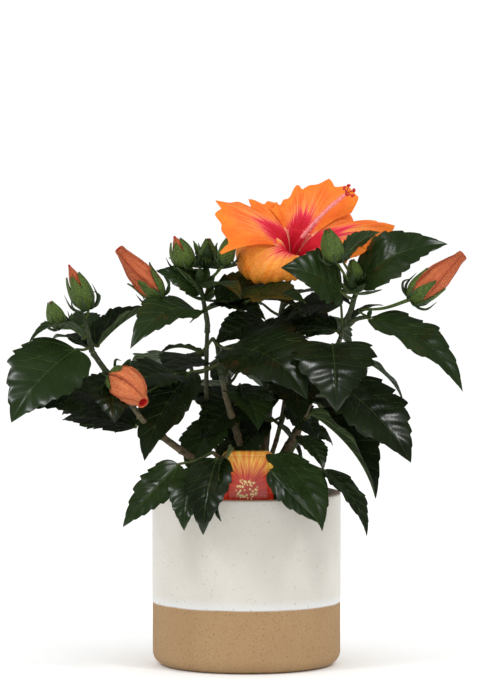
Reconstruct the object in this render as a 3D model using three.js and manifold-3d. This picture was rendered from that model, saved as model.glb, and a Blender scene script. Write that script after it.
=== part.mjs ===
// A hibiscus shrub in a two-tone ceramic pot, with one open bloom and three coloured buds.
// Millimetres, +Z up. The origin is the centre of the flat underside of the pot, and the
// bloom faces -Y. Directions are given as a turn about Z (0 is +X, 90 is +Y) and a rise.

import * as THREE from "three";
import { ConvexGeometry } from "three/addons/geometries/ConvexGeometry.js";
import { mergeVertices } from "three/addons/utils/BufferGeometryUtils.js";
import Module from "manifold-3d";

const wasm = await Module();
wasm.setup();

// ---- Driving dimensions ------------------------------------------------------------------

const GAP = 0.35; // clearance between pieces that touch
const WELDS = [0.2, 0.15, 0.1, 0.07, 0.04, 0.02]; // corners closer than this become one, where they can

const POT_RADIUS = 72.5;
const POT_HEIGHT = 133;
const POT_WALL = 6;
const POT_FLOOR = 8;
const POT_FOOT_RADIUS = 61;
const POT_FOOT_HEIGHT = 10.5;
const POT_LIP = 2; // rounding of the rim
const POT_SEGMENTS = 28;

const SOIL_HEIGHT = 118; // top of the soil
const SOIL_EDGE = 3; // how far the soil falls off at the wall

const LABEL_WIDTH = 39;
const LABEL_THICKNESS = 0.8;
const LABEL_CORNER = 6;
const LABEL_FOOT = 96; // height of the buried end
const LABEL_TOP = 169;
const LABEL_DEPTH = 58; // in front of the pot's axis

const STEM = new THREE.Vector3(9, 2, SOIL_HEIGHT + GAP); // foot of the trunk
const FORK = new THREE.Vector3(8, 1, 138);
const TRUNK_RADIUS = 5;
const TRUNK_FLARE = 1.7; // root flare, as a multiple of the radius
const LIMB_SIDES = 5;

const SHOOT_RADIUS = 3; // core of a leafy shoot
const STALK_RADIUS = 1.8; // where a leaf springs from the core
const STALK_STEP = 0.11; // each stalk on a shoot is a little thicker than the last
const LEAF_THICKNESS = 4; // half thickness of the pad that stands for a leaf
const PETAL_THICKNESS = 2.5;
const GOLDEN_TURN = 137.5;

const COLOURS = {
  pot: [0xdcd6cc, 0.45],
  soil: [0x3a2a20, 0.95],
  label: [0xd8541f, 0.35],
  bark: [0x4a3a28, 0.8],
  leaf: [0x22361a, 0.35],
  bloom: [0xf2802e, 0.55],
  bud: [0xd9683a, 0.55],
};

// ---- Small helpers -----------------------------------------------------------------------

const vector = ([x, y, z]) => new THREE.Vector3(x, y, z);
const radians = THREE.MathUtils.degToRad;

// Unit vector of a turn about Z and a rise above the horizon.
function direction(turn, rise) {
  const across = Math.cos(radians(rise));
  const x = Math.cos(radians(turn)) * across;
  const y = Math.sin(radians(turn)) * across;
  return new THREE.Vector3(x, y, Math.sin(radians(rise)));
}

// Point at a share of the way through a list of points, every stretch counting the same.
function along(points, share) {
  const place = share * (points.length - 1);
  const step = Math.min(Math.floor(place), points.length - 2);
  return points[step].clone().lerp(points[step + 1], place - step);
}

// The same fraction from 0 to 1 for the same number, every time.
function fraction(seed) {
  const value = Math.sin(seed * 12.9898 + 4.1414) * 43758.5453;
  return value - Math.floor(value);
}

function solid(geometry) {
  const bare = geometry.clone();
  for (const name of Object.keys(bare.attributes)) {
    if (name !== "position") bare.deleteAttribute(name);
  }
  const merged = mergeVertices(bare, 1e-4);
  const vertProperties = merged.attributes.position.array;
  const triVerts = new Uint32Array(merged.index.array);
  return new wasm.Manifold(new wasm.Mesh({ numProp: 3, vertProperties, triVerts }));
}

const hull = (points) => solid(new ConvexGeometry(points));

const union = (solids) => solids.reduce((whole, piece) => whole.add(piece));

// The largest of the bodies that a cut leaves.
function mainBody(shape) {
  return shape.decompose().reduce((best, body) => (body.volume() > best.volume() ? body : best));
}

function geometryOf(shape) {
  const { vertProperties, triVerts } = shape.getMesh();
  const geometry = new THREE.BufferGeometry();
  geometry.setAttribute("position", new THREE.BufferAttribute(vertProperties, 3));
  geometry.setIndex(new THREE.BufferAttribute(triVerts, 1));
  return geometry;
}

// The triangles left when corners closer than a distance become one.
function drawnTogether(geometry, distance) {
  const merged = mergeVertices(geometry, distance);
  const corners = merged.index.array;
  const kept = [];
  for (let i = 0; i < corners.length; i += 3) {
    const [a, b, c] = corners.subarray(i, i + 3);
    if (a !== b && b !== c && c !== a) kept.push(a, b, c);
  }
  return merged.setIndex(kept);
}

// Whether every edge is used once each way, as on one closed surface.
function isClosed(geometry) {
  const corners = geometry.index.array;
  const edges = new Set();
  for (let i = 0; i < corners.length; i++) {
    const next = i % 3 === 2 ? i - 2 : i + 1;
    edges.add(corners[i] + "_" + corners[next]);
  }
  const paired = [...edges].every((edge) => edges.has(edge.split("_").reverse().join("_")));
  return paired && edges.size === corners.length;
}

// The same body with the shortest edges that the cuts leave drawn together.
function welded(shape) {
  const geometry = geometryOf(shape);
  const tried = WELDS.map((distance) => drawnTogether(geometry, distance));
  return tried.find(isClosed) ?? geometry;
}

// Points at a distance round a centre, that a hull can start from: six for a knot, and the
// four of a three-sided pyramid for a stalk.
const KNOT = [[1, 0, 0], [-1, 0, 0], [0, 1, 0], [0, -1, 0], [0, 0, 1], [0, 0, -1]];
const STALK = [[0.6, 0.6, 0.6], [0.6, -0.6, -0.6], [-0.6, 0.6, -0.6], [-0.6, -0.6, 0.6]];
function knot(centre, radius, directions = KNOT) {
  return directions.map((way) => centre.clone().addScaledVector(vector(way), radius));
}

// ---- Limbs -------------------------------------------------------------------------------

// A closed tapering limb along a smooth curve: a cylinder bent to follow it.
function limb(points, startRadius, endRadius, grow = 0, steps = points.length + 1) {
  const curve = new THREE.CatmullRomCurve3(points);
  const frames = curve.computeFrenetFrames(steps, false);
  const geometry = new THREE.CylinderGeometry(1, 1, 1, LIMB_SIDES, steps);
  const position = geometry.attributes.position;
  for (let i = 0; i < position.count; i++) {
    const share = position.getY(i) + 0.5;
    const step = Math.round(share * steps);
    const radius = startRadius + (endRadius - startRadius) * share + grow;
    const past = grow * (share < 1e-6 ? -1 : share > 1 - 1e-6 ? 1 : 0);
    const point = curve
      .getPointAt(share)
      .addScaledVector(frames.normals[step], radius * position.getX(i))
      .addScaledVector(frames.binormals[step], -radius * position.getZ(i))
      .addScaledVector(frames.tangents[step], past);
    position.setXYZ(i, point.x, point.y, point.z);
  }
  return solid(geometry);
}

// The trunk flares towards its flat cut at the soil and stays nearly as thick to its fork.
function trunk(grow = 0) {
  const steps = 5;
  const height = FORK.z - STEM.z;
  const geometry = new THREE.CylinderGeometry(1, 1, 1, 10, steps);
  geometry.rotateX(Math.PI / 2);
  const position = geometry.attributes.position;
  for (let i = 0; i < position.count; i++) {
    const share = position.getZ(i) + 0.5;
    const flare = 1 + (TRUNK_FLARE - 1) * (1 - share) ** 4 - 0.12 * share;
    const centre = STEM.clone().lerp(FORK, share);
    const radius = TRUNK_RADIUS * flare + grow;
    const x = centre.x + radius * position.getX(i);
    const y = centre.y + radius * position.getY(i);
    position.setXYZ(i, x, y, STEM.z + share * (height + grow));
  }
  return solid(geometry);
}

// Each bough: its route from the fork to where it enters a mass, and its two radii.
const BOUGHS = {
  bough_left: [[8, 0, 132], [-14, -15, 146], [-41, -28, 161], [-62, -36, 177], [-76, -41, 188], 3.6, 2.4],
  bough_left_upper: [[-104, -42, 225], [-111, -41, 235], [-117, -40, 243], 2.2, 1.9],
  bough_right: [[9, 1, 132], [18, -4, 143], [31, -9, 161], [39, -12, 178], 4, 3.2],
  bough_centre: [[7, 0, 132], [0, -8, 152], [-6, -15, 176], [-14, -21, 202], [-19, -25, 225], 3.4, 2.2],
  bough_bloom: [
    ...[[9, 4, 132], [12, 20, 152], [16, 28, 190], [22, 30, 228], [26, 22, 268], [33, 0, 298]],
    3.4,
    2,
  ],
  bough_thin: [[5, 3, 132], [-14, 9, 150], [-27, 10, 176], [-31, 10, 213], [-30, -4, 256], 2.6, 1.6],
  bough_centre_top: [[20, 26, 205], [16, 22, 222], [9, 15, 240], [4, 10, 253], 2.2, 1.6],
  bough_right_upper: [[75, -15, 262], [77, -13, 267], [79, -11, 273], 2.6, 2.2],
  bough_back_left: [[4, 5, 132], [-12, 26, 156], [-30, 50, 186], 3.4, 2.4],
  bough_back_right: [[12, 5, 132], [26, 24, 156], [44, 44, 186], 3.4, 2.4],
  bough_back_top: [[10, 7, 132], [14, 25, 158], [18, 36, 190], [20, 40, 210], 3, 2],
};

// ---- Leaves and masses -------------------------------------------------------------------

const leaf = (share, stalk, blade, form = {}) => ({ share, stalk, blade, ...form });
const bud = (share, base, tip, radius) => ({ share, base, tip, radius });

// The widest reach of a leaf on each side of its midrib, as a share of its greatest.
const leafOutline = (share) => (share ** 0.55 * (1 - share) ** 0.95) / 0.373;

// The pad that stands for one leaf and its stalk, from the shoot to the leaf's tip.
function leafPad(shoot, spec, order, grow) {
  const { share, stalk, blade, roll = 0, fold = 12, arch = 0.1, width = 0.6 } = spec;
  const node = along(shoot, share);
  const base = node.clone().addScaledVector(direction(stalk[0], stalk[1]), stalk[2]);
  const length = blade[2];
  const axis = direction(blade[0], blade[1]);
  const up = new THREE.Vector3(0, 0, 1).addScaledVector(axis, -axis.z).normalize();
  const face = up.applyAxisAngle(axis, radians(roll));
  const side = new THREE.Vector3().crossVectors(axis, face);
  const rib = (t) => {
    const lift = arch * length * 4 * t * (1 - t);
    return base.clone().addScaledVector(axis, t * length).addScaledVector(face, lift);
  };
  const thickness = LEAF_THICKNESS + 2.5 * grow;
  const points = knot(node, STALK_RADIUS + STALK_STEP * order + 3 * grow, STALK);
  points.push(rib(0).addScaledVector(face, thickness), rib(0).addScaledVector(face, -thickness));
  for (const t of [0.22, 0.62]) {
    const reach = (length * width * leafOutline(t)) / 2 + 10 * grow;
    for (const hand of [-1, 1]) {
      const edge = rib(t).addScaledVector(side, hand * reach * Math.cos(radians(fold)));
      points.push(edge.addScaledVector(face, reach * Math.sin(radians(fold))));
    }
    if (t > 0.5) continue;
    points.push(rib(t).addScaledVector(face, thickness), rib(t).addScaledVector(face, -thickness));
  }
  points.push(rib(1).addScaledVector(axis, 10 * grow));
  return hull(points);
}

// A green flower bud on its short stalk.
function budPad(shoot, { share, base, tip, radius }, order, grow) {
  const middle = vector(base).lerp(vector(tip), 0.35);
  const stalk = knot(along(shoot, share), STALK_RADIUS + STALK_STEP * order + 3 * grow, STALK);
  const points = [...stalk, ...knot(middle, radius + 3 * grow)];
  points.push(vector(tip).addScaledVector(vector(tip).sub(middle).normalize(), 8 * grow));
  return hull(points);
}

// The woody core that runs through a mass.
const shootCore = (shoot, grow) => limb(shoot, SHOOT_RADIUS, SHOOT_RADIUS - 0.5, grow, 2);

// Leaves set round a shoot by the golden turn, longer and hanging lower near its foot.
let ruleSeed = 0;
function leavesByRule({ count, first, rise, length }) {
  return Array.from({ length: count }, (_, i) => {
    ruleSeed += 1;
    const share = 0.45 + (0.55 * (i + 1)) / count;
    const turn = (first + GOLDEN_TURN * i) % 360;
    const place = (i + 0.5) / count;
    const slope = rise[0] + (rise[1] - rise[0]) * place + 12 * (fraction(ruleSeed) - 0.5);
    const size = (length[0] + (length[1] - length[0]) * place) * (0.9 + 0.2 * fraction(ruleSeed + 50));
    const roll = 20 * (fraction(ruleSeed + 90) - 0.5);
    return leaf(share, [turn, slope + 45, 0.3 * size], [turn, slope, size], { roll, width: 0.68 });
  });
}

// Each mass: the shoot that its leaves stand on, then the leaves as share of the shoot,
// stalk [turn, rise, length] and blade [turn, rise, length]. The front ones come first, and
// a later mass gives way where two would meet.
const MASSES = {
  leaves_left_tip: {
    shoot: [[-117, -40, 243], [-120, -39, 257], [-123, -38, 269]],
    leaves: [
      leaf(0.15, [239, -2, 21], [215, -40, 78], { roll: -30, width: 0.82 }),
      leaf(0.5, [246, -20, 8], [212, 0, 49], { fold: 20, arch: 0.22, width: 0.5 }),
      leaf(0.3, [46, -29, 9], [33, 33, 57], { fold: 45, arch: 0.05 }),
      leaf(0.1, [99, -6, 10], [130, 9, 48], { width: 0.5 }),
      leaf(0.7, [87, -28, 12], [98, 21, 43]),
    ],
    buds: [bud(1, [-120, -38, 276], [-135, -40, 310], 9), bud(0.8, [-141, -44, 262], [-149, -46, 282], 6)],
  },
  leaves_left_low: {
    shoot: [[-76, -41, 188], [-91, -42, 208], [-104, -42, 225]],
    leaves: [
      leaf(0.9, [207, -29, 20], [195, -9, 63], { roll: -15, arch: 0.15, width: 0.5 }),
      leaf(0.2, [101, -43, 16], [149, 4, 69], { arch: 0.05, width: 0.5 }),
      leaf(1, [266, -7, 12], [279, -40, 45], { width: 0.85 }),
      leaf(0.5, [25, 23, 44], [220, -13, 55], { roll: -20, arch: 0.12, width: 0.9 }),
    ],
  },
  leaves_left_hanging: {
    shoot: [[-2, -14, 145], [-16, -40, 159], [-26, -52, 168]],
    leaves: [
      leaf(1, [200, -13, 30], [219, -39, 70], { roll: -40, arch: 0.06, width: 0.5 }),
      leaf(0.8, [237, -14, 28], [246, -55, 53]),
      leaf(0.6, [261, 8, 30], [253, -58, 63], { fold: 20, arch: 0.12 }),
      leaf(0.4, [275, 30, 31], [253, -51, 66], { roll: 60, fold: 20, arch: 0.08, width: 0.5 }),
    ],
  },
  leaves_right_hanging: {
    shoot: [[12, -12, 140], [22, -36, 156], [33, -48, 166]],
    leaves: [
      leaf(0.7, [253, 17, 25], [315, -44, 75], { arch: 0.12 }),
      leaf(0.4, [267, 5, 43], [326, -42, 58], { roll: 75, fold: 20, arch: 0.04, width: 0.36 }),
      leaf(1, [340, -10, 29], [327, -50, 64], { width: 0.45 }),
      leaf(0.9, [29, 53, 19], [305, -35, 39]),
    ],
  },
  leaves_left_top: {
    shoot: [[-30, -8, 264], [-33, -9, 281], [-38, -10, 305]],
    leaves: [
      leaf(0.3, [249, -7, 14], [225, -17, 74], { roll: -25, arch: 0.22, width: 0.7 }),
      leaf(0.55, [235, 57, 6], [202, 25, 39], { roll: -60 }),
      leaf(0.5, [288, 42, 16], [309, -7, 42], { arch: 0.15, width: 0.5 }),
    ],
    buds: [
      bud(1, [-45, -18, 308], [-55, -24, 331], 8),
      bud(1, [-29, -10, 307], [-29, -10, 330], 8),
      bud(0.7, [-17, -32, 310], [-12, -40, 332], 6),
    ],
  },
  leaves_centre_top: {
    shoot: [[4, 10, 253], [-3, 0, 270], [-11, -10, 281]],
    leaves: [
      leaf(0.9, [216, 9, 17], [17, 17, 51], { roll: 50 }),
      leaf(0.6, [279, 17, 30], [330, 3, 52], { roll: 25, fold: 20, width: 0.66 }),
    ],
  },
  leaves_centre: {
    shoot: [[-19, -25, 225], [-22, -20, 246], [-26, -16, 252]],
    leaves: [
      leaf(0.2, [173, -17, 24], [225, -52, 80], { roll: -10, arch: 0.08, width: 0.62 }),
      leaf(1, [131, -39, 19], [218, 5, 38], { fold: 20, width: 0.45 }),
      leaf(0.8, [298, -9, 26], [330, -25, 76], { roll: 25, arch: 0.18, width: 1 }),
    ],
  },
  leaves_right: {
    shoot: [[56, -18, 219], [70, -18, 247], [75, -15, 262]],
    leaves: [
      leaf(0.6, [256, 0, 21], [257, -50, 61], { fold: 20, arch: 0.15, width: 0.95 }),
      leaf(1, [149, 46, 8], [150, 8, 40], { roll: -20, width: 0.5 }),
    ],
  },
  leaves_right_low: {
    shoot: [[39, -12, 178], [46, -16, 196], [55, -18, 218]],
    leaves: [
      leaf(0.9, [310, 10, 27], [333, -40, 80], { roll: 15, arch: 0.15 }),
      leaf(0.3, [294, 23, 16], [328, -44, 85], { fold: 45, arch: 0.08 }),
      leaf(0.1, [28, 12, 6], [43, -25, 33], { roll: 50, width: 0.5 }),
    ],
  },
  leaves_right_top: {
    shoot: [[79, -11, 273], [84, -10, 289], [98, -6, 314]],
    leaves: [
      leaf(0.3, [237, 18, 20], [217, 22, 60], { roll: -60, width: 0.66 }),
      leaf(0.3, [299, 48, 10], [347, 28, 73], { roll: 60, arch: 0.08 }),
      leaf(0.6, [135, 36, 26], [34, 31, 42]),
    ],
    buds: [
      bud(0.5, [67, -42, 313], [60, -50, 338], 8),
      bud(1, [105, -14, 315], [96, -16, 331], 8),
      bud(0.6, [84, -18, 297], [80, -20, 313], 9),
    ],
  },
  leaves_right_middle: {
    shoot: [[79, -14, 263], [85, -20, 268], [93, -26, 270]],
    leaves: [
      leaf(0.1, [74, 35, 6], [27, 23, 29], { width: 0.5 }),
      leaf(1, [302, -19, 5], [336, -32, 92], { roll: 25, arch: 0.12, width: 0.56 }),
    ],
  },
  leaves_middle_left: {
    shoot: [[4, 5, 142], [-8, 14, 184], [-14, 20, 222]],
    rule: { count: 6, first: 235, rise: [-50, -15], length: [64, 56] },
  },
  leaves_middle_right: {
    shoot: [[12, 5, 142], [26, 12, 184], [32, 16, 226]],
    rule: { count: 5, first: 225, rise: [-50, -15], length: [64, 56] },
  },
  leaves_back_left: {
    shoot: [[-30, 50, 186], [-38, 62, 206], [-44, 72, 226]],
    rule: { count: 6, first: 295, rise: [-45, -5], length: [76, 60] },
  },
  leaves_back_right: {
    shoot: [[44, 44, 186], [56, 56, 211], [66, 66, 236]],
    rule: { count: 6, first: 165, rise: [-45, -5], length: [76, 60] },
  },
  leaves_back_top: {
    shoot: [[20, 40, 210], [24, 46, 241], [30, 56, 286]],
    rule: { count: 7, first: 130, rise: [-40, 10], length: [66, 52] },
  },
  leaves_back_low: {
    shoot: [[8, 12, 134], [6, 44, 142], [4, 66, 150]],
    rule: { count: 5, first: 30, rise: [-62, -50], length: [78, 72] },
  },
};

// ---- Bloom and coloured buds -------------------------------------------------------------

const BLOOM_CENTRE = new THREE.Vector3(39, -22, 325);
const BLOOM_AXIS = new THREE.Vector3(0.22, -0.66, 0.72).normalize();
const BLOOM_DEPTH = 26; // from the face of the bloom down to its calyx
const BLOOM_RIGHT = new THREE.Vector3(0, 0, 1).cross(BLOOM_AXIS).normalize();
const BLOOM_UP = new THREE.Vector3().crossVectors(BLOOM_AXIS, BLOOM_RIGHT);
const STIGMA = new THREE.Vector3(81, -74, 362); // end of the staminal column

// Each petal: turn in the bloom's face, reach, height of its tip and middle, half spread.
const PETALS = [
  { turn: 58, reach: 64, tip: 10, middle: 8, spread: 40 },
  { turn: 118, reach: 48, tip: 8, middle: 6, spread: 36 },
  { turn: 184, reach: 68, tip: 10, middle: 6, spread: 40 },
  { turn: 214, reach: 48, tip: -10, middle: 16, spread: 40 },
  { turn: -14, reach: 76, tip: 12, middle: 4, spread: 30 },
];

// A point of a petal, out along it by a share from 0 to 1 and across it from -1 to 1.
function petalPoint({ turn, reach, tip, middle, spread }, out, across) {
  const fan = spread * Math.min(1, 0.3 + 1.6 * out);
  const angle = radians(turn + across * fan);
  const radius = reach * out * (1 - 0.16 * across * across * out);
  const open = (out - 0.3) / 0.7;
  const cup = -BLOOM_DEPTH * (1 - out / 0.3) ** 1.5;
  const height = out < 0.3 ? cup : middle * 3 * open * (1 - open) + tip * open * open;
  return BLOOM_CENTRE.clone()
    .addScaledVector(BLOOM_AXIS, height)
    .addScaledVector(BLOOM_RIGHT, radius * Math.cos(angle))
    .addScaledVector(BLOOM_UP, radius * Math.sin(angle));
}

// A petal as three hulls, from the calyx to its rim.
function petalPad(petal, grow = 0) {
  const thickness = PETAL_THICKNESS + 5 * grow;
  const rows = [0.02, 0.3, 0.65, 1].map((out) =>
    [-1, -0.4, 0.4, 1].flatMap((across) => {
      const point = petalPoint(petal, out + (out === 1 ? 0.08 * grow : 0), across * (1 + 0.15 * grow));
      return [-thickness, thickness].map((shift) => point.clone().addScaledVector(BLOOM_AXIS, shift));
    }),
  );
  return union(rows.slice(1).map((row, i) => hull([...rows[i], ...row])));
}

function bloom(grow = 0) {
  const calyx = BLOOM_CENTRE.clone().addScaledVector(BLOOM_AXIS, -BLOOM_DEPTH);
  const throat = BLOOM_CENTRE.clone().addScaledVector(BLOOM_AXIS, -8);
  const cup = hull([...knot(calyx, 7 + 3 * grow), ...knot(throat, 9 + 3 * grow)]);
  const bend = BLOOM_CENTRE.clone().lerp(STIGMA, 0.5).addScaledVector(BLOOM_AXIS, 5);
  const column = limb([calyx, BLOOM_CENTRE, bend, STIGMA], 3.5, 2.5, grow);
  const stigma = hull(knot(STIGMA, 7 + 3 * grow));
  return union([cup, column, stigma, ...PETALS.map((petal) => petalPad(petal, grow))]);
}

// Each coloured bud: where its stalk starts, bends and ends, its tip, and its radius.
const BUDS = {
  bud_left_top: {
    stalk: [[-36, -13, 270], [-50, -20, 276], [-65, -28, 284]],
    tip: [-97, -40, 322],
    radius: 9.5,
  },
  bud_left_front: {
    stalk: [[-98, -46, 219], [-104, -52, 226], [-101, -63, 230]],
    tip: [-73, -84, 208],
    radius: 11,
  },
  bud_right: {
    stalk: [[88, -18, 274], [105, -30, 276], [124, -40, 283]],
    tip: [165, -48, 318],
    radius: 10.5,
  },
};

function colouredBud({ stalk, tip, radius }, grow = 0) {
  const route = stalk.map(vector);
  const base = route[route.length - 1];
  const end = vector(tip);
  const belly = base.clone().lerp(end, 0.38);
  const neck = base.clone().lerp(end, 0.9);
  const room = 3 * grow;
  const middle = knot(belly, radius + room);
  const lower = hull([...knot(base, 4 + room), ...middle]);
  const upper = hull([...middle, ...knot(neck, 4 + room), ...knot(end, 2.5 + room)]);
  return union([limb(route, 1.5, 2, grow), lower, upper]);
}

// ---- Pot, soil and plant label -----------------------------------------------------------

function lathe(profile) {
  const points = profile.map(([x, y]) => new THREE.Vector2(x, y));
  return solid(new THREE.LatheGeometry(points, POT_SEGMENTS).rotateX(Math.PI / 2));
}

// Points of a quarter circle, from one angle to another, for a lathe profile.
function arc(x, y, radius, from, to, steps) {
  return Array.from({ length: steps + 1 }, (_, i) => {
    const angle = radians(from + ((to - from) * i) / steps);
    return [x + radius * Math.cos(angle), y + radius * Math.sin(angle)];
  });
}

function pot() {
  const inner = POT_RADIUS - POT_WALL;
  const top = POT_HEIGHT - POT_LIP;
  return lathe([
    [0, 0],
    [POT_FOOT_RADIUS, 0],
    [POT_FOOT_RADIUS + 7, 3.5],
    [POT_RADIUS - 1, POT_FOOT_HEIGHT - 3],
    [POT_RADIUS, POT_FOOT_HEIGHT],
    ...arc(POT_RADIUS - POT_LIP, top, POT_LIP, 0, 90, 2),
    ...arc(inner + POT_LIP, top, POT_LIP, 90, 180, 2),
    [inner, POT_FLOOR + 4],
    [inner - 4, POT_FLOOR],
    [0, POT_FLOOR],
  ]);
}

function soil() {
  const edge = POT_RADIUS - POT_WALL - GAP;
  const earth = lathe([
    [0, POT_FLOOR + GAP],
    [edge - 4, POT_FLOOR + GAP],
    [edge, POT_FLOOR + 4 + GAP],
    [edge, SOIL_HEIGHT - SOIL_EDGE],
    [edge - SOIL_EDGE, SOIL_HEIGHT],
    [0, SOIL_HEIGHT],
  ]);
  return earth.subtract(plantLabel(GAP));
}

// The card stands upright in the soil, just inside the front of the rim.
function plantLabel(grow = 0) {
  const half = LABEL_WIDTH / 2 + grow;
  const foot = LABEL_FOOT - grow;
  const top = LABEL_TOP + grow;
  const outline = new THREE.Shape();
  outline.moveTo(-half, foot);
  outline.lineTo(half, foot);
  outline.lineTo(half, top - LABEL_CORNER);
  outline.absarc(half - LABEL_CORNER, top - LABEL_CORNER, LABEL_CORNER, 0, Math.PI / 2);
  outline.absarc(LABEL_CORNER - half, top - LABEL_CORNER, LABEL_CORNER, Math.PI / 2, Math.PI);
  outline.closePath();
  const depth = LABEL_THICKNESS + 2 * grow;
  const card = new THREE.ExtrudeGeometry(outline, { depth, bevelEnabled: false, curveSegments: 4 });
  card.rotateX(Math.PI / 2);
  card.translate(1, -LABEL_DEPTH + depth / 2, 0);
  return solid(card);
}

// ---- Assembly ----------------------------------------------------------------------------

const shrub = new THREE.Group();
shrub.name = "potted_hibiscus";
const taken = []; // grown copies of what later pieces give way to

function place(name, shape, [color, roughness], room) {
  const material = new THREE.MeshStandardMaterial({ color, roughness, metalness: 0 });
  const cut = mainBody(taken.reduce((rest, other) => rest.subtract(other), shape));
  const mesh = new THREE.Mesh(welded(cut), material);
  mesh.name = name;
  shrub.add(mesh);
  if (room) taken.push(room);
}

const potRoom = lathe([
  [0, 0],
  [POT_RADIUS + GAP, 0],
  [POT_RADIUS + GAP, POT_HEIGHT + GAP],
  [0, POT_HEIGHT + GAP],
]);

place("pot", pot(), COLOURS.pot);
place("soil", soil(), COLOURS.soil);
place("plant_label", plantLabel(), COLOURS.label);
place("trunk", trunk(), COLOURS.bark, trunk(GAP));

for (const [name, [...row]] of Object.entries(BOUGHS)) {
  const [startRadius, endRadius] = row.splice(-2);
  const route = row.map(vector);
  place(name, limb(route, startRadius, endRadius), COLOURS.bark, limb(route, startRadius, endRadius, GAP));
}

taken.push(potRoom, plantLabel(GAP));
place("bloom", bloom(), COLOURS.bloom, bloom(GAP));
for (const [name, spec] of Object.entries(BUDS)) {
  place(name, colouredBud(spec), COLOURS.bud, colouredBud(spec, GAP));
}

for (const [name, { shoot, leaves = [], buds = [], rule }] of Object.entries(MASSES)) {
  const route = shoot.map(vector);
  const blades = rule ? leavesByRule(rule) : leaves;
  const pads = (grow) =>
    union([
      shootCore(route, grow),
      ...blades.map((spec, order) => leafPad(route, spec, order, grow)),
      ...buds.map((spec, order) => budPad(route, spec, order, grow)),
    ]);
  place(name, pads(0), COLOURS.leaf, pads(GAP));
}

export default shrub;
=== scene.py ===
# %% [markdown]
# # A potted hibiscus in bloom
# This lesson dresses a plain solid model of a young hibiscus shrub. The solids give each part its
# size and place. Here they get a speckled glaze, bark, glossy leaves, furled buds and one open bloom.

# %% Load the frame
import itertools
import math

import bpy
import numpy as np
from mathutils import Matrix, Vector


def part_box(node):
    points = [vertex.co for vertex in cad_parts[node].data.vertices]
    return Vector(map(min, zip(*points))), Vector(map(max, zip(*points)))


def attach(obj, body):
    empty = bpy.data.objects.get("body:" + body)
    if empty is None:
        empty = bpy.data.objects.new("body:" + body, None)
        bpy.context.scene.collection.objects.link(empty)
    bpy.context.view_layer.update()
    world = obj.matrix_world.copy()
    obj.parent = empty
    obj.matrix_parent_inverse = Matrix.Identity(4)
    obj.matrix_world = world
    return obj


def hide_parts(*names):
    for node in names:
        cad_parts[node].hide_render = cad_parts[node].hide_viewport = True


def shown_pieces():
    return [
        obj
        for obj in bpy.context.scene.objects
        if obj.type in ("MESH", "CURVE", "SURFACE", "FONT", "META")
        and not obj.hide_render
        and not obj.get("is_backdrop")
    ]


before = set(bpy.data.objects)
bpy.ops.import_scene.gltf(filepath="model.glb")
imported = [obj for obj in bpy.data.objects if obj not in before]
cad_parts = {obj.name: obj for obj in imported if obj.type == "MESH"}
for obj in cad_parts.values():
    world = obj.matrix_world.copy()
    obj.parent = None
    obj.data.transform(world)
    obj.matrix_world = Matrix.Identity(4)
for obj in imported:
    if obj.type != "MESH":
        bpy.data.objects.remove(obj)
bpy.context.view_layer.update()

MM = 0.001
NEAR = 0.01 * MM  # closer than this counts as the same place
GOLDEN_ANGLE = 137.5  # degrees from one leaf to the next, seen along a shoot
print("frame with", len(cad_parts), "solids")

# %% [markdown]
# Places come from the frame. A share of a solid's box is a steady way to say where something sits in
# it, because it still holds when the solid changes a little. Directions are a turn about the upright
# axis and a rise above the horizon, which is how one would describe a twig with a hand.


# %% Places and directions
def inside(node, x, y, z):
    """The place at three shares of a solid's box, each from 0 to 1."""
    low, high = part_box(node)
    share = np.array([x, y, z])
    return np.array(low) * (1 - share) + np.array(high) * share


def direction(turn, rise):
    """A unit arrow from a turn about the upright axis and a rise above the horizon, in degrees."""
    a, b = math.radians(turn), math.radians(rise)
    return np.array([math.cos(a) * math.cos(b), math.sin(a) * math.cos(b), math.sin(b)])


def unit(vector):
    return vector / np.linalg.norm(vector)


def along(points, share):
    """The place at a share of a line of points."""
    place = share * (len(points) - 1)
    step = min(int(place), len(points) - 2)
    return points[step] + (points[step + 1] - points[step]) * (place - step)


def fraction(seed):
    """A number from 0 to 1 that looks like chance and is the same each time for the same seed."""
    value = math.sin(seed * 12.9898 + 4.1414) * 43758.5453
    return value - math.floor(value)


pot_low, pot_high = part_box("pot")
pot_radius = (pot_high.x - pot_low.x) / 2
print("pot radius", round(pot_radius / MM, 1), "mm")

# %% [markdown]
# ## Camera, floor and light
# The plant is looked at from just above pot height and from far away, so a long lens keeps the pot's
# sides parallel.


# %% Camera
CAMERA_AT = (0.0027, -4.0, 0.509)
CAMERA_AIM = (0.0027, 0, 0.242)
CAMERA_LENS = 268.8


def aimed(at, aim):
    return (Vector(aim) - Vector(at)).to_track_quat("-Z", "Y").to_euler()


bpy.ops.object.camera_add(location=CAMERA_AT)
camera = bpy.context.object
camera.rotation_euler = aimed(CAMERA_AT, CAMERA_AIM)
camera.data.lens = CAMERA_LENS
camera.data.clip_end = 50
bpy.context.scene.camera = camera
print("camera", round((Vector(CAMERA_AT) - Vector(CAMERA_AIM)).length, 2), "m from its aim")

# %% [markdown]
# A white room lights the plant softly from all round, and two small lamps, high up at the left and at
# the right, add narrow bright bands. A glossy leaf that mirrors a white room looks grey and hazy, so
# the world asks what kind of ray looks at it, and shows a much darker room to a reflection.


# %% Room and lamps
WORLD_STRENGTH = 1.05
GLOSS_SHARE = 0.07  # how bright the room looks in a reflection, beside its full strength


def lamp(name, at, aim, size, power, colour=(1, 1, 1)):
    bpy.ops.object.light_add(type="AREA", location=at)
    light = bpy.context.object
    light.name = name
    light.rotation_euler = aimed(at, aim)
    light.data.size = size
    light.data.energy = power
    light.data.color = colour


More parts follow.
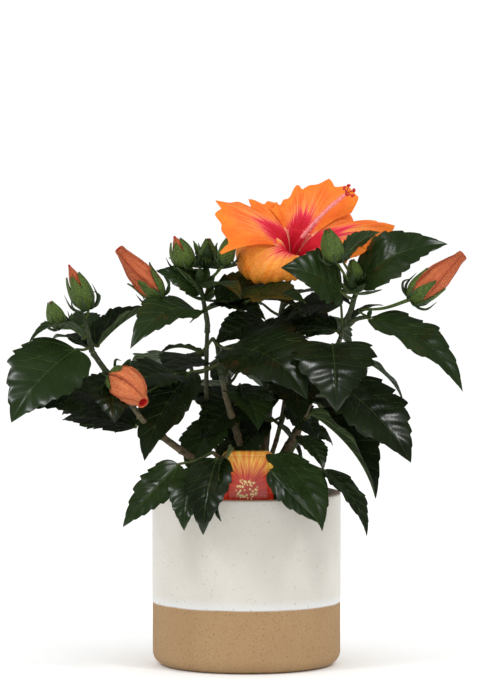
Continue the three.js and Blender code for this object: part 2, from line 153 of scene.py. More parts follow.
lamp("lamp_right", (1.3, -1.2, 2.0), (0, 0, 0.25), 0.45, 13)
lamp("lamp_left", (-1.6, -1.2, 1.7), (0, 0, 0.22), 0.45, 12, (0.96, 0.98, 1))
world = bpy.data.worlds.new("pale_room")
world.use_nodes = True
room = world.node_tree.nodes["Background"]
room.inputs["Color"].default_value = (1, 1, 1, 1)
rays = world.node_tree.nodes.new("ShaderNodeLightPath")
glow = world.node_tree.nodes.new("ShaderNodeMapRange")
glow.inputs["To Min"].default_value = WORLD_STRENGTH
glow.inputs["To Max"].default_value = WORLD_STRENGTH * GLOSS_SHARE
world.node_tree.links.new(rays.outputs["Is Glossy Ray"], glow.inputs["Value"])
world.node_tree.links.new(glow.outputs["Result"], room.inputs["Strength"])
bpy.context.scene.world = world
bpy.context.scene.view_settings.view_transform = "Standard"

# %% [markdown]
# ## Finishes
# Every finish is a Principled shader fed by a few patterns. Patterns that many finishes share are
# node groups, built once: a soft mottle, and small specks. Each material places them with its own
# scale, so the leaf, the clay and the bark can share the same two tools.


# %% Pattern groups
def pattern_group(name, inputs):
    group = bpy.data.node_groups.new(name, "ShaderNodeTree")
    group.interface.new_socket("Vector", in_out="INPUT", socket_type="NodeSocketVector")
    for socket_name, value in inputs.items():
        socket = group.interface.new_socket(socket_name, in_out="INPUT", socket_type="NodeSocketFloat")
        socket.default_value = value
    group.interface.new_socket("Mask", in_out="OUTPUT", socket_type="NodeSocketFloat")
    source = group.nodes.new("NodeGroupInput")
    result = group.nodes.new("NodeGroupOutput")
    return group, source, result


def mottle_group():
    group, source, result = pattern_group("mottle", {"Scale": 100, "Low": 0.35, "High": 0.65})
    noise = group.nodes.new("ShaderNodeTexNoise")
    noise.inputs["Detail"].default_value = 4
    spread = group.nodes.new("ShaderNodeMapRange")
    link = group.links.new
    link(source.outputs["Vector"], noise.inputs["Vector"])
    link(source.outputs["Scale"], noise.inputs["Scale"])
    link(noise.outputs["Fac"], spread.inputs["Value"])
    link(source.outputs["Low"], spread.inputs["From Min"])
    link(source.outputs["High"], spread.inputs["From Max"])
    link(spread.outputs["Result"], result.inputs["Mask"])
    return group


def speck_group():
    group, source, result = pattern_group("specks", {"Scale": 400, "Size": 0.3, "Share": 0.3})
    cells = group.nodes.new("ShaderNodeTexVoronoi")
    near = group.nodes.new("ShaderNodeMath")
    near.operation = "LESS_THAN"
    pick = group.nodes.new("ShaderNodeSeparateColor")
    few = group.nodes.new("ShaderNodeMath")
    few.operation = "LESS_THAN"
    both = group.nodes.new("ShaderNodeMath")
    both.operation = "MULTIPLY"
    link = group.links.new
    link(source.outputs["Vector"], cells.inputs["Vector"])
    link(source.outputs["Scale"], cells.inputs["Scale"])
    link(cells.outputs["Distance"], near.inputs[0])
    link(source.outputs["Size"], near.inputs[1])
    link(cells.outputs["Color"], pick.inputs["Color"])
    link(pick.outputs["Red"], few.inputs[0])
    link(source.outputs["Share"], few.inputs[1])
    link(near.outputs[0], both.inputs[0])
    link(few.outputs[0], both.inputs[1])
    link(both.outputs[0], result.inputs["Mask"])
    return group


GROUPS = {"mottle": mottle_group(), "specks": speck_group()}
print("pattern groups", sorted(GROUPS))

# %% [markdown]
# Colours are given as sRGB numbers from 0 to 255, as one would mix paint, and turned into the linear
# numbers that Blender uses.


# %% Paint
def paint(red, green, blue):
    def linear(value):
        value /= 255
        return value / 12.92 if value <= 0.04045 else ((value + 0.055) / 1.055) ** 2.4

    return (linear(red), linear(green), linear(blue), 1)


print("paint of mid grey", round(paint(128, 128, 128)[0], 3))

# %% [markdown]
# A small helper class keeps the node work readable: it makes a node, links what is handed to it and
# returns the output. Patterns sit on the piece's own place, unless they are given another one.


# %% Finish helper
class Finish:
    """A material around one Principled shader, which is built up pattern by pattern."""

    def __init__(self, name, colour, roughness, **constants):
        self.material = bpy.data.materials.new(name)
        self.material.use_nodes = True
        self.tree = self.material.node_tree
        self.shader = self.tree.nodes["Principled BSDF"]
        self.shader.inputs["Base Color"].default_value = colour
        self.shader.inputs["Roughness"].default_value = roughness
        for socket, value in constants.items():
            self.shader.inputs[socket.replace("_", " ")].default_value = value
        self.place = self.node("ShaderNodeTexCoord").outputs["Object"]

    def node(self, kind, settings=None, **inputs):
        """A new node. An input is named by its socket, or as _0, _1 and so on by its number."""
        node = self.tree.nodes.new(kind)
        for key, value in (settings or {}).items():
            setattr(node, key, value)
        for key, value in inputs.items():
            self.set(node.inputs[int(key[1:]) if key[1:].isdigit() else key.replace("_", " ")], value)
        return node

    def set(self, socket, value):
        if isinstance(value, bpy.types.NodeSocket):
            self.tree.links.new(value, socket)
        else:
            socket.default_value = value

    def pattern(self, name, vector=None, **inputs):
        group = self.node("ShaderNodeGroup", {"node_tree": GROUPS[name]}, **inputs)
        self.set(group.inputs["Vector"], vector or self.place)
        return group.outputs["Mask"]

    def mix(self, mask, first, second):
        node = self.node("ShaderNodeMix", {"data_type": "RGBA"}, Factor=mask)
        self.set(node.inputs[6], first)
        self.set(node.inputs[7], second)
        return node.outputs[2]

    def tint(self, base, colour, mask, share=1.0):
        """Lays a colour over the base where the mask is high, at a share of its full strength."""
        return self.mix(self.maths("MULTIPLY", mask, share), base, colour)

    def maths(self, operation, first, second=0.0):
        return self.node("ShaderNodeMath", {"operation": operation}, _0=first, _1=second).outputs[0]

    def spread(self, value, low, high, start=0.0, end=1.0, smooth=False):
        """Turns a value that runs from low to high into one that runs from start to end."""
        kind = {"interpolation_type": "SMOOTHSTEP" if smooth else "LINEAR"}
        node = self.node("ShaderNodeMapRange", kind, Value=value)
        for socket, number in zip(("From Min", "From Max", "To Min", "To Max"), (low, high, start, end)):
            self.set(node.inputs[socket], number)
        return node.outputs["Result"]

    def wear(self, colour=None, roughness=None, height=None, depth=0.0002, strength=0.5):
        """Links what changes over the surface to the shader, and gives the material back."""
        if colour:
            self.set(self.shader.inputs["Base Color"], colour)
        if roughness:
            self.set(self.shader.inputs["Roughness"], roughness)
        if height:
            bump = self.node("ShaderNodeBump", Height=height, Distance=depth, Strength=strength)
            self.set(self.shader.inputs["Normal"], bump.outputs["Normal"])
        return self.material


print("a finish can", [name for name in dir(Finish) if not name.startswith("_")])

# %% [markdown]
# A piece is ready when its place is in its mesh, it rides on the plant's one body, and the solids it
# stands for are hidden. Smooth shading up to a set angle keeps rims and edges crisp.


# %% Piece helpers
def deselect():
    bpy.ops.object.select_all(action="DESELECT")


def primitive(name, add, **settings):
    deselect()
    add(**settings)
    piece = bpy.context.object
    piece.name = piece.data.name = name
    return piece


def select_only(piece):
    deselect()
    piece.select_set(True)
    bpy.context.view_layer.objects.active = piece


def settle(piece):
    select_only(piece)
    bpy.ops.object.transform_apply(location=True, rotation=True, scale=True)


def apply_modifier(piece, kind, **settings):
    select_only(piece)
    modifier = piece.modifiers.new(kind.lower(), kind)
    for key, value in settings.items():
        setattr(modifier, key, value)
    bpy.ops.object.modifier_apply(modifier=modifier.name)


def ready(piece, slot, *nodes, angle=40):
    select_only(piece)
    bpy.ops.object.shade_smooth_by_angle(angle=math.radians(angle))
    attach(piece, "root")
    if nodes:
        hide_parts(*nodes)
    print(piece.name, len(piece.data.polygons), "faces")
    return piece


def triangles_of(piece):
    piece.data.calc_loop_triangles()
    return len(piece.data.loop_triangles)


print("piece helpers ready")

# %% [markdown]
# ## The pot
# The pot is thrown stoneware: straight sides, a softly turned foot and a rounded rim. The upper part
# was dipped in an off-white glaze, and the foot was left bare. A potter raises a wall from a disc, so
# the mesh is made the same way: a disc whose edge is extruded ring by ring, up the outside, over the
# rim and down the inside. The glaze has a real thickness, which shows as a low step where it ends.

# %% Pot shape
GLAZE_LINE = 49 * MM
GLAZE_STEP = 0.35 * MM
POT_WALL = 6 * MM
LIP_ROUND = 2 * MM
FOOT_RADIUS = 61 * MM
FOOT_HEIGHT = 10.5 * MM
POT_FLOOR = 8 * MM
POT_SIDES = 160


def quarter(radius, height, size, start, end, steps=5):
    """Points on a rounded corner, from one angle to another."""
    angles = [math.radians(start + (end - start) * i / steps) for i in range(steps + 1)]
    return [(radius + size * math.cos(a), height + size * math.sin(a)) for a in angles]


def pot_profile():
    bare = pot_radius - GLAZE_STEP
    inner = pot_radius - POT_WALL
    foot = [(FOOT_RADIUS + (bare - FOOT_RADIUS) * math.sin(a), FOOT_HEIGHT * (1 - math.cos(a)))
            for a in np.linspace(0.12, math.pi / 2, 8)]
    walls = [(bare, GLAZE_LINE * share) for share in (0.4, 0.6, 0.8, 0.985)]
    glaze = [(bare + 0.2 * MM, GLAZE_LINE - 0.2 * MM), (pot_radius, GLAZE_LINE + 0.4 * MM)]
    lip = quarter(pot_radius - LIP_ROUND, pot_high.z - LIP_ROUND, LIP_ROUND, 0, 90)
    lip += quarter(inner + LIP_ROUND, pot_high.z - LIP_ROUND, LIP_ROUND, 90, 180)
    upper = [(pot_radius, z) for z in np.linspace(GLAZE_LINE + 8 * MM, pot_high.z - 6 * MM, 6)]
    inside_wall = [(inner, pot_high.z * 0.6), (inner, POT_FLOOR + 6 * MM), (inner - 5 * MM, POT_FLOOR)]
    return foot + walls + glaze + upper + lip + inside_wall


def raise_pot(profile):
    pot = primitive("pot_body", bpy.ops.mesh.primitive_circle_add, vertices=POT_SIDES,
                    radius=FOOT_RADIUS, fill_type="TRIFAN")
    bpy.ops.object.mode_set(mode="EDIT")
    bpy.ops.mesh.region_to_loop()
    radius, height = FOOT_RADIUS, 0
    for new_radius, new_height in profile:
        bpy.ops.mesh.extrude_region_move(
            TRANSFORM_OT_translate={"value": (0, 0, new_height - height)})
        scale = new_radius / radius
        bpy.ops.transform.resize(value=(scale, scale, 1), center_override=(0, 0, new_height))
        radius, height = new_radius, new_height
    bpy.ops.mesh.edge_face_add()
    bpy.ops.mesh.select_all(action="SELECT")
    bpy.ops.mesh.remove_doubles(threshold=1e-6)
    bpy.ops.mesh.normals_make_consistent(inside=False)
    bpy.ops.object.mode_set(mode="OBJECT")
    return pot


pot = raise_pot(pot_profile())
print("pot rings", len(pot_profile()))

# %% [markdown]
# The glaze is warm off-white with fine grey and ochre specks, and it pools a little bluer just above
# its lower edge. On the rim it wears thin and the brown clay shows through. The bare foot is sandy and
# matt, with brown grains. One material covers both, told apart by height, because the edge of a
# dipped glaze is soft and slightly wavy.


# %% Pot finish
def pot_finish():
    clay = Finish("stoneware", paint(222, 216, 206), 0.4, Coat_Roughness=0.25)
    height = clay.node("ShaderNodeSeparateXYZ", Vector=clay.place).outputs["Z"]
    ripple = clay.pattern("mottle", Scale=24, Low=0.2, High=0.8)
    edge = clay.maths("ADD", height, clay.maths("MULTIPLY", ripple, 0.0012))
    glazed = clay.spread(edge, GLAZE_LINE - 0.4 * MM, GLAZE_LINE + 1.4 * MM, smooth=True)
    pooled = clay.spread(edge, GLAZE_LINE, GLAZE_LINE + 9 * MM, 1.0, 0.0, smooth=True)
    cloud = clay.pattern("mottle", Scale=38, Low=0.3, High=0.7)
    glaze = clay.mix(cloud, paint(206, 201, 192), paint(199, 194, 184))
    glaze = clay.tint(glaze, paint(214, 217, 220), pooled, 0.7)
    fine = clay.pattern("specks", Scale=620, Size=0.32, Share=0.12)
    glaze = clay.tint(glaze, paint(158, 144, 124), fine, 0.3)
    coarse = clay.pattern("specks", Scale=300, Size=0.2, Share=0.12)
    glaze = clay.tint(glaze, paint(150, 136, 116), coarse, 0.45)
    rim = clay.spread(height, pot_high.z - 1.3 * MM, pot_high.z - 0.2 * MM, smooth=True)
    glaze = clay.tint(glaze, paint(146, 110, 78), rim, 0.8)
    sand = clay.pattern("mottle", Scale=900, Low=0.3, High=0.7)
    bare = clay.mix(sand, paint(157, 125, 88), paint(173, 143, 103))
    patch = clay.pattern("mottle", Scale=30, Low=0.3, High=0.75)
    bare = clay.tint(bare, paint(152, 119, 83), patch, 0.5)
    grain = clay.pattern("specks", Scale=560, Size=0.36, Share=0.22)
    bare = clay.tint(bare, paint(118, 84, 54), grain, 0.45)
    clay.set(clay.shader.inputs["Coat Weight"], clay.maths("MULTIPLY", glazed, 0.35))
    roughness = clay.spread(glazed, 0, 1, 0.88, 0.42)
    relief = clay.maths("ADD", clay.maths("MULTIPLY", sand, clay.spread(glazed, 0, 1, 1, 0.12)), cloud)
    return clay.wear(clay.mix(glazed, bare, glaze), roughness, relief, 0.0002, 0.35)


pot.data.materials.append(pot_finish())
ready(pot, "pot_ceramic", "pot", angle=30)

# %% [markdown]
# ## Soil
# Potting soil is crumbs of peat and bark. The bed is a disc that is subdivided and pushed up and down
# by a cloud texture, which leaves its edge against the pot as it was.


# %% Soil
random = np.random.default_rng(7)


def cloud_texture(name, size):
    texture = bpy.data.textures.new(name, "CLOUDS")
    texture.noise_scale = size
    texture.noise_depth = 3
    return texture


def soil_bed():
    low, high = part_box("soil")
    radius = (high.x - low.x) / 2
    bed = primitive("soil_bed", bpy.ops.mesh.primitive_cylinder_add, vertices=96, radius=radius,
                    depth=high.z - low.z - 2 * MM, end_fill_type="TRIFAN",
                    location=(0, 0, (high.z + low.z) / 2 - MM))
    settle(bed)
    bpy.ops.object.mode_set(mode="EDIT")
    bpy.ops.mesh.select_all(action="DESELECT")
    bpy.ops.object.mode_set(mode="OBJECT")
    for face in bed.data.polygons:
        face.select = face.normal.z > 0.9
    bpy.ops.object.mode_set(mode="EDIT")
    bpy.ops.mesh.subdivide(number_cuts=5)
    bpy.ops.object.mode_set(mode="OBJECT")
    group = bed.vertex_groups.new(name="top")
    top = max(v.co.z for v in bed.data.vertices) - NEAR
    reach = radius - 2 * MM
    chosen = [v.index for v in bed.data.vertices if v.co.z > top and v.co.xy.length < reach]
    group.add(chosen, 1, "ADD")
    apply_modifier(bed, "DISPLACE", texture=cloud_texture("soil_crumbs", 0.008), strength=5 * MM,
                   mid_level=0.6, vertex_group="top", direction="Z")
    return bed


def soil_finish():
    earth = Finish("potting_soil", paint(44, 34, 26), 0.95)
    crumb = earth.pattern("mottle", Scale=420, Low=0.3, High=0.7)
    colour = earth.mix(crumb, paint(36, 27, 20), paint(78, 60, 44))
    return earth.wear(colour, None, crumb, 0.0006, 0.9)


SOIL = soil_finish()
bed = soil_bed()
bed.data.materials.append(SOIL)
ready(bed, "soil", "soil", angle=60)

# %% [markdown]
# ## Meshes from arrays
# Leaves, twigs and bracts come in great numbers, so each kind is gathered as arrays of corners and
# faces and becomes one mesh at the end. A gatherer keeps the growing lists, with a paint number for
# each face where one mesh has several finishes, and a flat place for each corner of a face where a
# pattern has to follow the surface.


# %% Gatherer
class Gatherer:
    def __init__(self):
        self.points, self.faces, self.paints, self.places, self.count = [], [], [], [], 0

    def sheet(self, grid, paint_number=0, around=False, flip=False, place=None):
        """A grid of points made into four-sided faces, closed into a ring if it goes around."""
        rows, columns = grid.shape[:2]
        index = np.arange(rows * columns).reshape(rows, columns) + self.count
        if around:
            index = np.concatenate([index, index[:, :1]], axis=1)
        quads = np.stack([index[:-1, :-1], index[:-1, 1:], index[1:, 1:], index[1:, :-1]], -1)
        quads = quads.reshape(-1, 4)
        self.faces.append(quads[:, ::-1] if flip else quads)
        self.paints.append(np.full(len(quads), paint_number))
        self.points.append(grid.reshape(-1, 3))
        if place is not None:
            place = [place[:-1, :-1], place[:-1, 1:], place[1:, 1:], place[1:, :-1]]
            place = np.stack(place, 2).reshape(-1, 4, 2)
            self.places.append(place[:, ::-1] if flip else place)
        self.count += rows * columns

    def piece(self, name, materials):
        mesh = bpy.data.meshes.new(name)
        mesh.from_pydata(np.concatenate(self.points).tolist(), [], np.concatenate(self.faces).tolist())
        for material in materials:
            mesh.materials.append(material)
        mesh.polygons.foreach_set("material_index", np.concatenate(self.paints).astype(np.int32))
        if self.places:
            layer = mesh.uv_layers.new(name="pattern")
            layer.data.foreach_set("uv", np.concatenate(self.places).ravel())
        mesh.update()
        piece = bpy.data.objects.new(name, mesh)
        bpy.context.scene.collection.objects.link(piece)
        select_only(piece)
        bpy.ops.object.mode_set(mode="EDIT")
        bpy.ops.mesh.select_all(action="SELECT")
        bpy.ops.mesh.remove_doubles(threshold=2e-6)
        bpy.ops.object.mode_set(mode="OBJECT")
        return piece


trial = Gatherer()
trial.sheet(np.zeros((3, 4, 3)))
print("a grid of 3 by 4 corners gives", len(trial.faces[0]), "faces")

# %% [markdown]
# Twigs, stalks, hairs and threads are all round limbs along a curve. A smooth path is drawn through a
# few chosen points, and a ring of corners is carried along it without twisting.


# %% Paths and tubes
def smooth_path(points, steps):
    """A Catmull-Rom curve through the points, with its steps evenly shared between them."""
    knots = np.array(points, float)
    padded = np.concatenate([2 * knots[:1] - knots[1:2], knots, 2 * knots[-1:] - knots[-2:-1]])
    result = []
    for place in np.linspace(0, len(knots) - 1, steps):
        i = min(int(place), len(knots) - 2)
        t = place - i
        a, b, c, d = padded[i:i + 4]
        result.append(0.5 * (2 * b + (c - a) * t + (2 * a - 5 * b + 4 * c - d) * t * t
                             + (3 * b - a - 3 * c + d) * t ** 3))
    return np.array(result)


def tube(gatherer, path, radii, sides=8, paint_number=0, bumps=None):
    """A round limb along a path, closed at both ends by drawing in to a point."""
    tangents = np.gradient(path, axis=0)
    tangents /= np.linalg.norm(tangents, axis=1)[:, None]
    helper = np.array([0.31, 0.9, 0.3]) if abs(tangents[0, 1]) < 0.8 else np.array([1.0, 0.1, 0.2])
    across = unit(np.cross(tangents[0], helper))
    rings = []
    angles = np.linspace(0, 2 * math.pi, sides, endpoint=False)
    for i, (point, tangent) in enumerate(zip(path, tangents)):
        across = unit(across - tangent * (across @ tangent))
        upward = np.cross(tangent, across)
        radius = radii[i] * (1 if bumps is None else bumps[i])
        ring = np.outer(np.cos(angles), across) + np.outer(np.sin(angles), upward)
        rings.append(point + ring * np.reshape(radius, (-1, 1)))
    first = np.repeat(path[:1] - tangents[0] * radii[0] * 0.3, sides, axis=0)
    last = np.repeat(path[-1:] + tangents[-1] * radii[-1] * 0.3, sides, axis=0)
    gatherer.sheet(np.array([first, *rings, last]), paint_number, around=True)


print("middle of a bent path", smooth_path([(0, 0), (1, 1), (2, 0)], 3)[1])

# %% [markdown]
# Loose crumbs lie on the bed. Each is a short, stubby limb that points any way, and they are strewn
# evenly, as the seeds in a sunflower are: each one goes a fixed turn round from the last.


# %% Soil crumbs
CRUMBS = 260


def soil_crumbs():
    low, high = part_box("soil")
    radius = (high.x - low.x) / 2 - 5 * MM
    crumbs = Gatherer()
    for i in range(CRUMBS):
        place = direction(GOLDEN_ANGLE * i, 0) * radius * math.sqrt((i + 0.5) / CRUMBS)
        place[2] = high.z - 1.5 * MM
        way = unit(random.normal(0, 1, 3)) * (1 + 2 * fraction(i)) * MM
        path = np.array([place - way, place - 0.5 * way, place + 0.4 * way, place + way])
        tube(crumbs, path, np.array([0.7, 1.5, 1.6, 0.6]) * (0.6 + fraction(i + 9)) * MM, 6)
    return crumbs.piece("soil_crumbs", [SOIL])


ready(soil_crumbs(), "soil")

# %% [markdown]
# ## Trunk and boughs
# Each bough is read back from its solid: the middle line is the mean of the solid's corners, taken
# slice by slice along its length, so the new wood stands just where the plain wood stood.


# %% Middle lines
def corners(node):
    """The corners of a solid, each one once."""
    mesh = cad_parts[node].data
    points = np.zeros(len(mesh.vertices) * 3)
    mesh.vertices.foreach_get("co", points)
    return np.unique(points.reshape(-1, 3).round(6), axis=0)


fork = inside("trunk", 0.47, 0.45, 1.0)


def middle_line(node, slices):
    """The line through the middle of a bough, from the end near the fork to the far end."""
    points = corners(node)
    from_fork = np.linalg.norm(points - fork, axis=1)
    far, near = points[np.argmax(from_fork)], points[np.argmin(from_fork)]

    def end_ring(corner):
        return points[np.argsort(np.linalg.norm(points - corner, axis=1))[:6]].mean(axis=0)

    share = (points - near) @ (far - near) / ((far - near) @ (far - near))
    line = [end_ring(near)]
    for i in range(1, slices - 1):
        chosen = points[np.abs(share - i / (slices - 1)) < 0.5 / (slices - 1)]
        line.append(chosen.mean(axis=0))
    return smooth_path(line + [end_ring(far)], 12 * slices)


# Slices along the solid, then the radius in mm near the fork and at the far end.
BOUGHS = {
    "bough_left": (5, 3.4, 2.5), "bough_left_upper": (2, 2.3, 2.1), "bough_right": (3, 3.9, 3.2),
    "bough_centre": (4, 3.2, 2.3), "bough_bloom": (6, 3.2, 2.0), "bough_thin": (5, 2.4, 1.6),
    "bough_centre_top": (4, 2.1, 1.7), "bough_right_upper": (2, 2.6, 2.2),
    "bough_back_left": (3, 3.3, 2.4), "bough_back_right": (3, 3.3, 2.4), "bough_back_top": (4, 2.9, 2.1),
}
lines = {name: middle_line(name, slices) for name, (slices, _, _) in BOUGHS.items()}
print({name: [int(v / MM) for v in line[-1]] for name, line in lines.items()})

# %% [markdown]
# Young hibiscus wood has fine ridges along it, small dents, and a swelling at each node, where a leaf
# once stood. These are true bumps in the mesh: the radius of each ring changes a little from corner
# to corner. Low down the bark is brown with pale pores, and towards the tips it is still green.


# %% Bark relief
KNOT_WIDTH = 1.1 * MM
DENT = 0.018  # as a share of the radius
RING_SPACING = 1.3 * MM


def bark_bumps(length, sides, steps, spacing=0.017, ridge=0.05, knot=0.22):
    """How far each corner of a limb stands out, as a share of the radius."""
    place = np.linspace(0, length, steps)[:, None]
    angle = np.linspace(0, 2 * math.pi, sides, endpoint=False)[None, :]
    node = np.exp(-(((place + 0.3 * spacing) % spacing - 0.5 * spacing) / KNOT_WIDTH) ** 2)
    dents = random.normal(0, DENT, (steps, sides))
    return 1 + ridge * np.sin(3 * angle + place * 90) + knot * node + dents


def limb(gatherer, line, start, end, sides=14, **bark):
    """Wood with bark along a line, with its radius in mm at both ends."""
    length = np.linalg.norm(np.diff(line, axis=0), axis=1).sum()
    steps = max(6, int(length / RING_SPACING))
    path = smooth_path(line[np.linspace(0, len(line) - 1, 9).round().astype(int)], steps)
    radii = np.linspace(start, end, steps) * MM
    tube(gatherer, path, radii, sides, bumps=bark_bumps(length, sides, steps, **bark))


def bark_finish():
    bark = Finish("bark", paint(84, 66, 46), 0.75)
    height = bark.node("ShaderNodeSeparateXYZ", Vector=bark.place).outputs["Z"]
    patch = bark.pattern("mottle", Scale=60, Low=0.25, High=0.75)
    young = bark.spread(bark.maths("ADD", height, bark.maths("MULTIPLY", patch, 0.03)), 0.19, 0.25)
    streak = bark.pattern("mottle", Scale=340, Low=0.3, High=0.7)
    brown = bark.mix(streak, paint(62, 52, 36), paint(118, 102, 74))
    green = bark.mix(streak, paint(34, 44, 20), paint(58, 70, 32))
    pale = bark.pattern("specks", Scale=420, Size=0.3, Share=0.2)
    colour = bark.tint(bark.mix(young, brown, green), paint(140, 122, 92), pale, 0.4)
    return bark.wear(colour, bark.spread(young, 0, 1, 0.85, 0.55), streak, 0.0004, 0.7)


BARK = bark_finish()
for name, (slices, start, end) in BOUGHS.items():
    wood = Gatherer()
    limb(wood, lines[name], start, end)
    ready(wood.piece(name + "_bark", [BARK]), "bark", name)

# %% [markdown]
# The trunk is short. It flares where it meets the soil and closes just above the fork, inside the
# feet of the boughs.


# %% Trunk
TRUNK_RADIUS = 4.9 * MM
TRUNK_SIDES = 28
TRUNK_RINGS = 30


def trunk_piece():
    low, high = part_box("trunk")
    foot = inside("trunk", 0.5, 0.5, 0.0)
    knots = [foot - [0, 0, 2 * MM], foot + [0, 0, 7 * MM], fork, fork + [0, 0, 2.5 * MM]]
    share = np.linspace(0, 1, TRUNK_RINGS)
    flare = (high.x - low.x) / 2
    radii = TRUNK_RADIUS + (flare - TRUNK_RADIUS) * (1 - share) ** 4
    radii[-3:] *= [0.96, 0.8, 0.45]
    bumps = bark_bumps(0.02, TRUNK_SIDES, TRUNK_RINGS, spacing=0.011, ridge=0.06, knot=0.05)
    wood = Gatherer()
    tube(wood, smooth_path(knots, TRUNK_RINGS), radii, TRUNK_SIDES, bumps=bumps)
    return wood.piece("trunk_bark", [BARK])


ready(trunk_piece(), "bark", "trunk")

# %% [markdown]
# ## Leaves
# A hibiscus leaf is a glossy oval with a drawn-out tip. It is never flat: the halves fold up a little
# from the midrib, the blade arches and waves, and its tip curls under. So a blade is a bent surface
# first, told by where it points, how far it rolls, folds and arches, and how wide it is for its
# length. Everything on the leaf is then drawn flat and laid on that surface.


# %% Leaf surface
TIP_CURL = 0.05  # as a share of the length


def leaf_outline(t):
    """Half the width at a share of the length, as a share of the widest half."""
    t = np.clip(t, 0, 1)
    drawn_out = 1 - 0.3 * np.clip((t - 0.55) / 0.45, 0, 1)
    return t ** 0.55 * (1 - t) ** 0.9 / 0.38 * drawn_out


class Blade:
    """The bent surface of one leaf. lay() puts flat places on it: t along, y across in metres."""

    def __init__(self, base, turn, rise, length, seed, roll=0, fold=12, arch=0.1, width=0.6):
        self.base, self.length, self.half = base, length, length * width / 2
        self.axis = direction(turn, rise)
        up = unit(np.array([0, 0, 1.0]) - self.axis * self.axis[2])
        side = np.cross(self.axis, up)
        lean = math.radians(roll)
        self.face = up * math.cos(lean) + side * math.sin(lean)
        self.side = side * math.cos(lean) - up * math.sin(lean)
        self.fold, self.arch = math.radians(fold), arch
        self.phase, self.wave = 6.3 * fraction(seed), 0.012 + 0.012 * fraction(seed + 7)
        self.sway = 0.05 * (fraction(seed + 13) - 0.5)

    def width_at(self, t):
        return self.half * leaf_outline(t)

    def lay(self, t, y, lift=0.0):
        reach = np.abs(y) / self.half
        x = self.length * (t - 0.07 * reach ** 1.4 * (1 - np.clip(t, 0, 1)) ** 3)
        out = np.abs(y) * math.cos(self.fold)
        rise = np.abs(y) * math.sin(self.fold) - 0.10 * self.half * reach ** 2.2
        rise = rise + self.arch * self.length * 4 * t * (1 - t) - TIP_CURL * self.length * t ** 5
        rise = rise + self.wave * self.length * np.sin(17 * t + self.phase + np.sign(y)) * reach ** 1.5
        sway = self.sway * self.length * t ** 2
        return (self.base + np.multiply.outer(x, self.axis)
                + np.multiply.outer(np.sign(y) * out + sway, self.side)
                + np.multiply.outer(rise + lift, self.face))


print("leaf widest at", round(float(np.argmax(leaf_outline(np.linspace(0, 1, 101)))) / 100, 2))

# %% [markdown]
# Three to five strong veins spread from the stalk, and side veins leave the midrib and the strong
# ones. They are flat lines first. The distance from each place on the blade to its nearest vein then
# tells how far the skin bulges there, which gives the leaf its quilted look.


# %% Leaf veins
def leaf_veins(blade, side_pairs):
    """Flat vein lines as (t, y, start width, end width), on both sides of the midrib."""
    s = np.linspace(0, 1, 9)
    veins = [(np.linspace(0, 0.99, 16), np.zeros(16), 0.52, 0.14)]
    for hand in (-1, 1):
        for end, power, size in ((0.60, 0.92, 0.32), (0.24, 0.8, 0.24)):
            t = end * s
            veins.append((t, hand * 0.93 * blade.width_at(end) * s ** power, size, 0.1))
        for i in range(side_pairs):
            start = 0.26 + 0.54 * i / side_pairs
            end = start + 0.19 - 0.05 * i / side_pairs
            t = start + (end - start) * s
            veins.append((t, hand * 0.93 * blade.width_at(end) * s ** 1.1, 0.24, 0.08))
        for start in (0.3, 0.52, 0.74):
            t0, y0 = 0.6 * start, 0.93 * blade.width_at(0.6) * start ** 0.92
            end = t0 + 0.1
            t = t0 + (end - t0) * s[::2]
            y = y0 + (0.95 * blade.width_at(end) - y0) * s[::2]
            veins.append((t, hand * y, 0.16, 0.07))
    return veins


def distance_to_veins(blade, t, y, veins):
    """How far each place on the flat blade is from the nearest vein."""
    x = t * blade.length
    nearest = np.full(t.shape, 1.0)
    for vein_t, vein_y, _, _ in veins:
        for i in range(len(vein_t) - 1):
            ax, ay = vein_t[i] * blade.length, vein_y[i]
            bx, by = vein_t[i + 1] * blade.length - ax, vein_y[i + 1] - ay
            place = np.clip(((x - ax) * bx + (y - ay) * by) / (bx * bx + by * by + 1e-12), 0, 1)
            nearest = np.minimum(nearest, np.hypot(x - ax - place * bx, y - ay - place * by))
    return nearest


print("veins on a leaf", len(leaf_veins(Blade(np.zeros(3), 0, 0, 0.07, 1), 4)))

# %% [markdown]
# The blade itself is a grid with coarse teeth that point forward. Upper and lower skins meet at the
# rim, so each leaf is one closed, very thin body. The veins are thin ridges on both sides, paler than
# the blade, and they are gathered apart from it because they have their own finish.


# %% Grow a leaf
TOOTH_DEPTH = 0.2
QUILT = 0.017  # how far the skin bulges between the veins, as a share of the length
BLADE_THICKNESS = 0.35 * MM
RIB_ABOVE = 0.16 * MM
RIB_BELOW = 0.35 * MM
RIB_SUNK = 0.12 * MM
UNDERSIDE = 3  # paint number of the lower skin
RIB_SIDES = [(RIB_ABOVE, -RIB_SUNK, 0),
             (-BLADE_THICKNESS - RIB_BELOW, RIB_SUNK - BLADE_THICKNESS, 1)]


